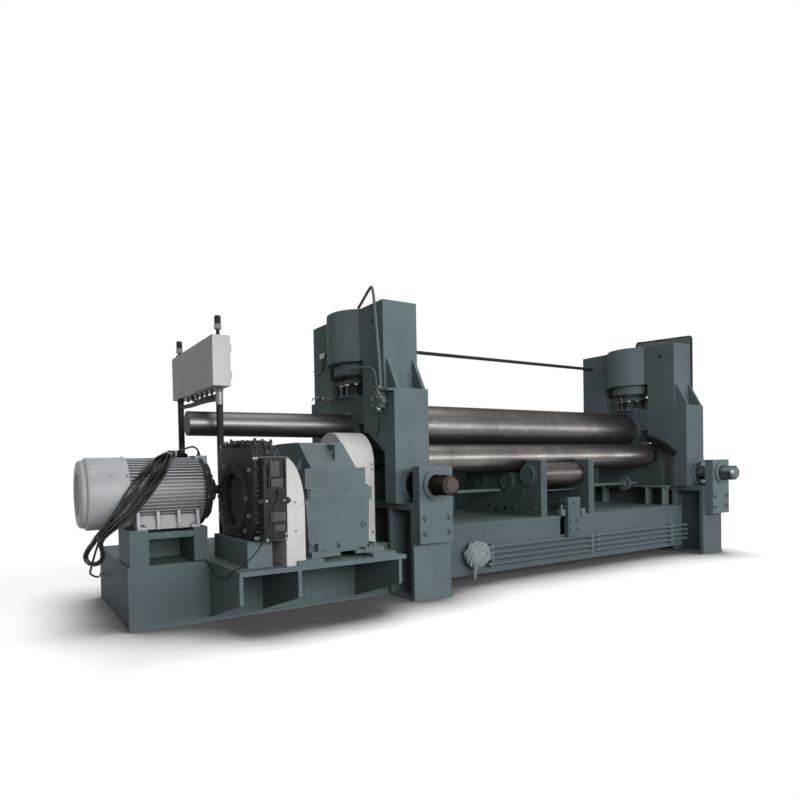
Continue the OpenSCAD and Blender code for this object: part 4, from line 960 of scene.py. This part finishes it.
def cloud(tree, place, scale, detail=4.0, roughness=0.55, stretch=None):
    """Fractal noise at a scale per metre, drawn out along an axis where stretch is given."""
    if stretch:
        place = add(tree, "ShaderNodeMapping", {"Vector": place, "Scale": stretch}).outputs[0]
    settings = {"Vector": place, "Scale": scale, "Detail": detail, "Roughness": roughness}
    return add(tree, "ShaderNodeTexNoise", settings).outputs["Fac"]


def linear(code):
    """The linear colour of a screen colour written as six hex digits."""
    parts = np.array([int(code[i:i + 2], 16) for i in (0, 2, 4)]) / 255
    return (*np.where(parts <= 0.04045, parts / 12.92, ((parts + 0.055) / 1.055) ** 2.4).tolist(), 1.0)


# %% Floor, world and lamps
def make_floor(size=60.0, near=0.5, far=2.4, glow=0.5):
    """The floor's own light grows from a little beside the machine to plain white past its shadow. Its colour
    and that light also carry a painted shadow, darkest where the machine is close above it.
    """
    corner = np.array([(-1, -1), (1, -1), (1, 1), (-1, 1)]) * size / 2
    mesh = bpy.data.meshes.new("studio_floor")
    mesh.from_pydata([(x, y, -0.001) for x, y in corner], [], [(0, 1, 2, 3)])
    floor = bpy.data.objects.new("studio_floor", mesh)
    bpy.context.scene.collection.objects.link(floor)
    material, tree, shader = new_material("studio_floor")
    path = add(tree, "ShaderNodeLightPath")
    seen = maths(tree, "MAXIMUM", path.outputs["Is Camera Ray"], path.outputs["Is Glossy Ray"])
    # Painted shadow: ambient occlusion from the machine darkens the floor's colour and dims its glow, close
    # under and beside the machine.
    occlusion_for_painted_shade = add(tree, "ShaderNodeAmbientOcclusion", {"Distance": 0.75}, samples=12).outputs["AO"]
    outside_painted_shadow = spread(tree, occlusion_for_painted_shade, 0.5, 0.94, 0.1, 1.0)
    floor_colour_with_painted_shadow = blend_colour(tree, outside_painted_shadow, linear("202122"), linear("f2f2f2"))
    tree.links.new(blend_colour(tree, seen, linear("8a8a8a"), floor_colour_with_painted_shadow), shader.inputs["Base Color"])
    shader.inputs["Roughness"].default_value = 0.9
    shader.inputs["Specular IOR Level"].default_value = 0.1
    place = add(tree, "ShaderNodeTexCoord").outputs["Object"]
    middle = (float(CAD_BOX[0][0] + CAD_BOX[1][0]) / 2, float(CAD_BOX[0][1] + CAD_BOX[1][1]) / 2, 0.0)
    centred = add(tree, "ShaderNodeMapping", {"Vector": place, "Location": middle},
                  vector_type="TEXTURE").outputs[0]
    axes = add(tree, "ShaderNodeSeparateXYZ", {0: centred})
    past = [maths(tree, "SUBTRACT", maths(tree, "ABSOLUTE", axes.outputs[k]), reach)
            for k, reach in enumerate((3.4, 1.2))]
    squares = [maths(tree, "POWER", maths(tree, "MAXIMUM", step, 0.0), 2.0) for step in past]
    away = maths(tree, "SQRT", total(tree, *squares))
    white = add(tree, "ShaderNodeEmission", {"Strength": 1.0})
    # Painted shadow: the floor's glow is halved right beside the machine and dimmed further where the machine
    # occludes it.
    glow_with_painted_shadow = product(tree, spread(tree, away, 0.0, 0.5, 0.5 * glow, glow), outside_painted_shadow)
    little = add(tree, "ShaderNodeEmission", {"Strength": product(tree, seen, glow_with_painted_shadow)})
    both = add(tree, "ShaderNodeAddShader", {0: shader.outputs[0], 1: little.outputs[0]})
    fade = product(tree, spread(tree, away, near, far), seen)
    mixed = add(tree, "ShaderNodeMixShader", {0: fade, 1: both.outputs[0], 2: white.outputs[0]})
    tree.links.new(mixed.outputs[0], tree.nodes["Material Output"].inputs["Surface"])
    mesh.materials.append(material)


def make_world(ambient=0.2):
    world = bpy.data.worlds.new("studio")
    bpy.context.scene.world = world
    world.use_nodes = True
    tree = world.node_tree
    path = add(tree, "ShaderNodeLightPath")
    seen = maths(tree, "MAXIMUM", path.outputs["Is Camera Ray"], path.outputs["Is Transmission Ray"])
    seen = maths(tree, "MAXIMUM", seen, path.outputs["Is Glossy Ray"])
    strength = spread(tree, seen, 0.0, 1.0, ambient, 1.0)
    tree.links.new(strength, tree.nodes["Background"].inputs["Strength"])
    tree.nodes["Background"].inputs["Color"].default_value = (1, 1, 1, 1)


def make_lamp(name, place, aim, size, power):
    data = bpy.data.lights.new(name, "AREA")
    data.shape, data.size, data.size_y, data.energy = "RECTANGLE", size[0], size[1], power
    lamp = bpy.data.objects.new(name, data)
    bpy.context.scene.collection.objects.link(lamp)
    lamp.location = place
    lamp.rotation_euler = (Vector(aim) - Vector(place)).to_track_quat("-Z", "Y").to_euler()


make_floor()
make_world()
make_lamp("near_strip", (-2.4, -8.5, 2.7), (-2.4, 0.0, 2.4), (8.0, 2.4), 650)
make_lamp("far_strip", (9.0, -8.5, 2.7), (9.0, 0.0, 2.4), (14.0, 2.2), 650)
make_lamp("top_lamp", (-1.0, -0.5, 8.0), (-1.0, 0.0, 0.0), (9.0, 5.0), 250)
bpy.context.scene.view_settings.view_transform = "Standard"

# %% [markdown]
# ## Paint and steel
# A workshop machine wears one coat of teal-grey enamel, laid on with a wide brush. It is never one flat tone:
# there are slow drifts, upright brush strokes, fine orange peel, and bare or dusty patches on edges and tops.
# Edges are found with the Bevel node: where its softened normal leaves the true one, the coat is thin.

# %% Finishes: helpers
def surface_place(tree):
    return add(tree, "ShaderNodeTexCoord").outputs["Object"]


def edge_amount(tree, reach):
    """How far a rounded normal leans away from the true one: 0 on flats, 1 on sharp outer edges."""
    soft = add(tree, "ShaderNodeBevel", {"Radius": reach}, samples=4)
    true = add(tree, "ShaderNodeNewGeometry")
    lean = add(tree, "ShaderNodeVectorMath", {0: soft.outputs[0], 1: true.outputs["True Normal"]},
               operation="DOT_PRODUCT").outputs["Value"]
    return spread(tree, lean, 0.995, 0.86)


def up_amount(tree):
    """1 on faces that look at the sky, where dust settles."""
    true = add(tree, "ShaderNodeNewGeometry")
    height = add(tree, "ShaderNodeSeparateXYZ", {0: true.outputs["True Normal"]}).outputs[2]
    return spread(tree, height, 0.4, 1.0)


def relief(tree, shader, height, strength, distance):
    """Fine relief: the surface seems to lean by the slope of a height."""
    bump = add(tree, "ShaderNodeBump", {"Strength": strength, "Distance": distance, "Height": height})
    tree.links.new(bump.outputs[0], shader.inputs["Normal"])


def tinted(code, factor):
    return tuple(min(1.0, c * factor) for c in linear(code)[:3]) + (1.0,)


# %% Finishes: painted surfaces
def enamel(name, coat, chip, dust="8f8d86", gloss=0.56, wear=0.5, dusty=0.25, strokes=0.28, soot=0.25,
           shine=0.06):
    """Brushed enamel: mottled tone, upright strokes, orange peel, soot, worn edges and settled dust."""
    material, tree, shader = new_material(name)
    place = surface_place(tree)
    drift = spread(tree, cloud(tree, place, 1.7, 5.0), 0.3, 0.7)
    fine = spread(tree, cloud(tree, place, 26.0, 6.0, 0.65), 0.3, 0.7)
    brush = spread(tree, cloud(tree, place, 42.0, 3.0, 0.6, (1.0, 1.0, 0.045)), 0.35, 0.65)
    grime = spread(tree, cloud(tree, place, 7.0, 6.0, 0.68, (1.0, 1.0, 0.35)), 0.55, 0.78)
    colour = blend_colour(tree, drift, tinted(coat, 0.82), tinted(coat, 1.14))
    colour = blend_colour(tree, product(tree, brush, strokes), colour, tinted(coat, 1.32))
    colour = blend_colour(tree, product(tree, fine, 0.3), colour, tinted(coat, 0.78))
    colour = blend_colour(tree, product(tree, grime, soot), colour, linear("2c2f2e"))
    settled = product(tree, product(tree, up_amount(tree), fine), dusty)
    colour = blend_colour(tree, settled, colour, linear(dust))
    patch = spread(tree, cloud(tree, place, 14.0, 6.0, 0.7), 0.5, 0.6)
    thin = total(tree, product(tree, patch, 0.6), 0.4)
    worn = product(tree, product(tree, edge_amount(tree, 0.007), thin), wear)
    colour = blend_colour(tree, worn, colour, linear(chip))
    tree.links.new(colour, shader.inputs["Base Color"])
    tree.links.new(spread(tree, total(tree, fine, brush), 0.0, 2.0, gloss - 0.08, gloss + 0.14),
                   shader.inputs["Roughness"])
    shader.inputs["Specular IOR Level"].default_value = shine
    peel = product(tree, cloud(tree, place, 170.0, 3.0), 0.25)
    lumps = total(tree, peel, product(tree, brush, 0.22))
    lumps = total(tree, lumps, cloud(tree, place, 5.0, 3.0))
    relief(tree, shader, lumps, 0.3, 0.004)
    return material


def scuffed(name, coat, scuff, gloss=0.42, shine=0.45):
    """Grey motor paint: fine cast grain, darker hand marks, pale scuffs and black rubs here and there, with
    painted shade darkening the gaps between fins and other crevices.
    """
    material, tree, shader = new_material(name)
    place = surface_place(tree)
    drift = spread(tree, cloud(tree, place, 2.6, 5.0), 0.3, 0.7)
    grain = spread(tree, cloud(tree, place, 60.0, 5.0, 0.7), 0.3, 0.7)
    rubs = spread(tree, cloud(tree, place, 7.0, 8.0, 0.75), 0.575, 0.66)
    pale = spread(tree, cloud(tree, place, 13.0, 8.0, 0.75, (0.4, 1.0, 1.0)), 0.62, 0.68)
    colour = blend_colour(tree, drift, tinted(coat, 0.86), tinted(coat, 1.12))
    colour = blend_colour(tree, product(tree, grain, 0.25), colour, tinted(coat, 0.72))
    colour = blend_colour(tree, product(tree, rubs, 0.5), colour, linear("4a4c4e"))
    colour = blend_colour(tree, product(tree, pale, 0.5), colour, linear(scuff))
    worn = product(tree, edge_amount(tree, 0.004), 0.4)
    colour = blend_colour(tree, worn, colour, linear(scuff))
    # Painted shade: ambient occlusion turns the colour nearly black in the gaps between fins and in tight
    # crevices.
    occlusion_for_painted_shade = add(tree, "ShaderNodeAmbientOcclusion", {"Distance": 0.035}, samples=6).outputs["AO"]
    colour = blend_colour(tree, spread(tree, occlusion_for_painted_shade, 0.25, 0.85, 0.85, 0.0), colour, linear("1b1c1d"))
    tree.links.new(colour, shader.inputs["Base Color"])
    tree.links.new(spread(tree, total(tree, grain, rubs), 0.0, 2.0, gloss, gloss + 0.25),
                   shader.inputs["Roughness"])
    shader.inputs["Specular IOR Level"].default_value = shine
    relief(tree, shader, total(tree, grain, drift), 0.25, 0.0015)
    return material


# %% Finishes: steel
def steel(name, bright, dark, marks=(1.0, 30.0, 30.0), rough=(0.25, 0.5), rust=0.0, metallic=0.9, mottle=0.5):
    """Turned or rolled steel: fine marks across the axis, stains, and a rusty bloom where wanted."""
    material, tree, shader = new_material(name)
    place = surface_place(tree)
    lines = spread(tree, cloud(tree, place, 2.0, 6.0, 0.65, marks), 0.3, 0.7)
    stain = spread(tree, cloud(tree, place, 2.8, 7.0, 0.66), 0.32, 0.68)
    speck = spread(tree, cloud(tree, place, 55.0, 6.0, 0.7), 0.55, 0.7)
    colour = blend_colour(tree, product(tree, stain, mottle), linear(bright), linear(dark))
    colour = blend_colour(tree, product(tree, lines, 0.35), colour, linear(dark))
    if rust > 0:
        bloom = maths(tree, "MAXIMUM", speck, maths(tree, "SUBTRACT", stain, 0.3))
        bloom = product(tree, bloom, rust)
        colour = blend_colour(tree, bloom, colour, linear("5d4437"))
    tree.links.new(colour, shader.inputs["Base Color"])
    marked = total(tree, product(tree, lines, 0.5), product(tree, speck, 0.5))
    tree.links.new(spread(tree, marked, 0.1, 0.7, *rough), shader.inputs["Roughness"])
    shader.inputs["Metallic"].default_value = metallic
    relief(tree, shader, lines, 0.12, 0.001)
    return material


def two_part_roll(name, edge_x, worked, polished):
    """One roll with two finishes: the worked barrel, and beyond edge_x the polished tail."""
    material, tree, shader = new_material(name)
    place = surface_place(tree)
    along = add(tree, "ShaderNodeSeparateXYZ", {0: place}).outputs[0]
    tail = spread(tree, along, edge_x - 0.01, edge_x + 0.01, 1.0, 0.0)
    off_tail = maths(tree, "SUBTRACT", 1.0, tail)
    lines = spread(tree, cloud(tree, place, 2.0, 6.0, 0.65, (1.0, 26.0, 26.0)), 0.3, 0.7)
    stain = spread(tree, cloud(tree, place, 2.3, 7.0, 0.68), 0.34, 0.66)
    dab = spread(tree, cloud(tree, place, 16.0, 7.0, 0.75, (0.4, 1.0, 1.0)), 0.62, 0.74)
    barrel = blend_colour(tree, stain, linear(worked[0]), linear(worked[1]))
    barrel = blend_colour(tree, product(tree, lines, 0.4), barrel, linear(worked[1]))
    barrel = blend_colour(tree, product(tree, dab, 0.5), barrel, linear("a8a39c"))
    shank = blend_colour(tree, product(tree, stain, 0.3), linear(polished[0]), linear(polished[1]))
    tree.links.new(blend_colour(tree, tail, barrel, shank), shader.inputs["Base Color"])
    worn = spread(tree, total(tree, lines, stain), 0.2, 1.8, 0.28, 0.38)
    clean = spread(tree, stain, 0.0, 1.0, 0.34, 0.38)
    blend = total(tree, product(tree, worn, off_tail),
                  product(tree, clean, tail))
    tree.links.new(blend, shader.inputs["Roughness"])
    shader.inputs["Metallic"].default_value = 0.92
    shader.inputs["Specular Tint"].default_value = (0.3, 0.3, 0.3, 1.0)
    relief(tree, shader, product(tree, lines, off_tail), 0.1, 0.001)
    return material


# %% Finishes: black cable and the film round the pipe ends
def soft_black(name, tone="1a1a1b"):
    """Cable sheath: near black and slightly glossy, with grey dust rubbed into it in streaks."""
    material, tree, shader = new_material(name)
    place = surface_place(tree)
    dust = spread(tree, cloud(tree, place, 22.0, 6.0, 0.7), 0.45, 0.75)
    fine = spread(tree, cloud(tree, place, 150.0, 3.0), 0.3, 0.7)
    colour = blend_colour(tree, product(tree, dust, 0.1), linear(tone), linear("56544f"))
    tree.links.new(colour, shader.inputs["Base Color"])
    shader.inputs["Specular IOR Level"].default_value = 0.28
    gloss = spread(tree, total(tree, dust, fine), 0.0, 2.0, 0.14, 0.34)
    tree.links.new(gloss, shader.inputs["Roughness"])
    relief(tree, shader, fine, 0.15, 0.0006)
    return material


def creased_film(name, tone="7c8788"):
    """Pale plastic film: milky, thin enough to shine, with fine creases that run in every direction."""
    material, tree, shader = new_material(name)
    place = surface_place(tree)
    cells = add(tree, "ShaderNodeTexVoronoi", {"Vector": place, "Scale": 70.0}, feature="DISTANCE_TO_EDGE")
    fold = spread(tree, cells.outputs[0], 0.0, 0.12)
    haze = spread(tree, cloud(tree, place, 18.0, 6.0, 0.7), 0.3, 0.7)
    colour = blend_colour(tree, haze, tinted(tone, 0.55), tinted(tone, 1.25))
    ridge = product(tree, maths(tree, "SUBTRACT", 1.0, fold), 0.2)
    tree.links.new(blend_colour(tree, ridge, colour, linear("b4bab8")), shader.inputs["Base Color"])
    tree.links.new(spread(tree, haze, 0.0, 1.0, 0.35, 0.6), shader.inputs["Roughness"])
    shader.inputs["Specular IOR Level"].default_value = 0.25
    relief(tree, shader, total(tree, fold, haze), 0.6, 0.005)
    return material


FINISHES = {
    "machine_paint": enamel("machine_enamel", "5a666a", "8f999b"),
    # Painted shade: a darker copy of the machine enamel, with more soot, for the beams, the far leg and frame
    # and the centre brackets, which get less light.
    "shade_darkened_paint": enamel("shade_darkened_enamel", "4f5a5e", "838d90", soot=0.35),
    "dark_paint": enamel("shadow_enamel", "485457", "7d878a", wear=0.4, soot=0.4),
    "guard_paint": enamel("guard_enamel", "bcbcbb", "8d8c88", gloss=0.45, wear=0.3, dusty=0.1, strokes=0.08,
                          soot=0.12),
    "motor_paint": scuffed("motor_enamel", "a0a4a8", "d6d7d8"),
    "cabinet_paint": enamel("cabinet_enamel", "b8b8b8", "8a8a88", gloss=0.42, wear=0.2, dusty=0.05,
                            strokes=0.0, soot=0.0),
    "black_paint": enamel("sooty_enamel", "2b2c2d", "6b6c6d", dust="5c5a56", gloss=0.45, wear=0.8,
                          strokes=0.15, soot=0.5),
    "roll_steel": steel("roll_steel", "55504d", "363331", rough=(0.3, 0.48), rust=0.18, metallic=0.85),
    "bright_steel": steel("bright_steel", "b9b9b9", "858585", rough=(0.2, 0.4)),
    "black_rubber": soft_black("black_rubber", "161617"),
    "cable_black": soft_black("cable_black", "0e0e0f"),
    "upper_roll": two_part_roll("upper_roll_steel", -2.34, ("716e6c", "524f4d"), ("666667", "575758")),
    "lower_roll": two_part_roll("lower_roll_steel", -99.0, ("7c7875", "55524f"), ("666667", "575758")),
    "nickel": steel("nickel", "9c9d9b", "5c5d5c", rough=(0.2, 0.36), mottle=0.6),
    "stud_steel": steel("stud_steel", "747673", "3a3c3b", rough=(0.3, 0.5), rust=0.06, mottle=0.9),
    "rod_steel": two_part_roll("rod_steel", 0.0, ("8b9597", "535c5e"), ("403b39", "2b2826")),
    "grey_sleeve": steel("grey_sleeve", "858788", "5a5c5d", rough=(0.4, 0.55), metallic=0.4),
    "net_black": enamel("net_black", "2a3132", "3a3f40", gloss=0.85, wear=0.0, dusty=0.0, strokes=0.0,
                        soot=0.2, shine=0.0),
    "bed_paint": enamel("bed_enamel", "55615f", "7f898a", dust="5f6a6a", wear=0.4, dusty=0.2, strokes=0.5,
                        soot=0.2),
    "tape": enamel("grey_tape", "b9b9b5", "9c9c98", gloss=0.5, wear=0.1, dusty=0.1, strokes=0.0, soot=0.4),
    "zinc": steel("zinc_bolts", "8b8d8b", "4c4e4d", rough=(0.28, 0.5), rust=0.06, mottle=0.8),
    "oily_steel": steel("oily_steel", "6b6864", "383634", rough=(0.24, 0.42), rust=0.12),
    "grey_plate": enamel("grey_plate", "4c4d4d", "6c6c6b", gloss=0.5, wear=0.5, dusty=0.1, strokes=0.1,
                         soot=0.5),
    # Besides the fan, this black is the painted shade of the support plate slots.
    "dark_void": enamel("fan_black", "18191a", "3a3a3a", gloss=0.7, wear=0.1, dusty=0.1, strokes=0.0,
                        soot=0.1),
    "rubber_cloth": enamel("rubber_cloth", "1d1f1f", "3c3e3e", gloss=0.6, wear=0.5, dusty=0.2, strokes=0.0,
                           soot=0.1),
    "film": creased_film("creased_film"),
    "red_plastic": enamel("red_brown_plastic", "6e3a30", "8a5a4c", gloss=0.4, wear=0.2, dusty=0.1,
                          strokes=0.0, soot=0.1),
}
print("finishes:", ", ".join(FINISHES))

# %% Give every CAD node the finish of its slot
SLOT_OF = {part["node"]: part["material_slot"] for part in frame["record"]["subparts"]}
# The darker copy of the enamel on the beams, far leg, far frame and centre brackets is painted shade.
OWN_FINISH = {"upper_roll": "upper_roll", "front_lower_roll": "lower_roll", "rear_lower_roll": "lower_roll",
              "sync_shaft": "machine_paint", "screw_rods": "rod_steel", "bed_plate": "bed_paint",
              "front_beam": "shade_darkened_paint", "rear_beam": "shade_darkened_paint",
              "beam_pipes": "shade_darkened_paint",
              "far_side_leg": "shade_darkened_paint", "far_side_frame": "shade_darkened_paint",
              "centre_brackets": "shade_darkened_paint", "frame_pipes": "machine_paint"}


def paint(piece, finish):
    """The finish in every material slot of a piece."""
    if not piece.data.materials:
        piece.data.materials.append(finish)
    for index in range(len(piece.data.materials)):
        piece.data.materials[index] = finish


for name, slot_name in SLOT_OF.items():
    paint(NODES[name], FINISHES[OWN_FINISH.get(name, slot_name)])
for piece, finish in PAINT_LATER:
    paint(piece, FINISHES[finish])
print("painted nodes:", len(SLOT_OF), "and pieces:", len(PAINT_LATER))

# %% [markdown]
# ## Last step

# %% End
print("done")
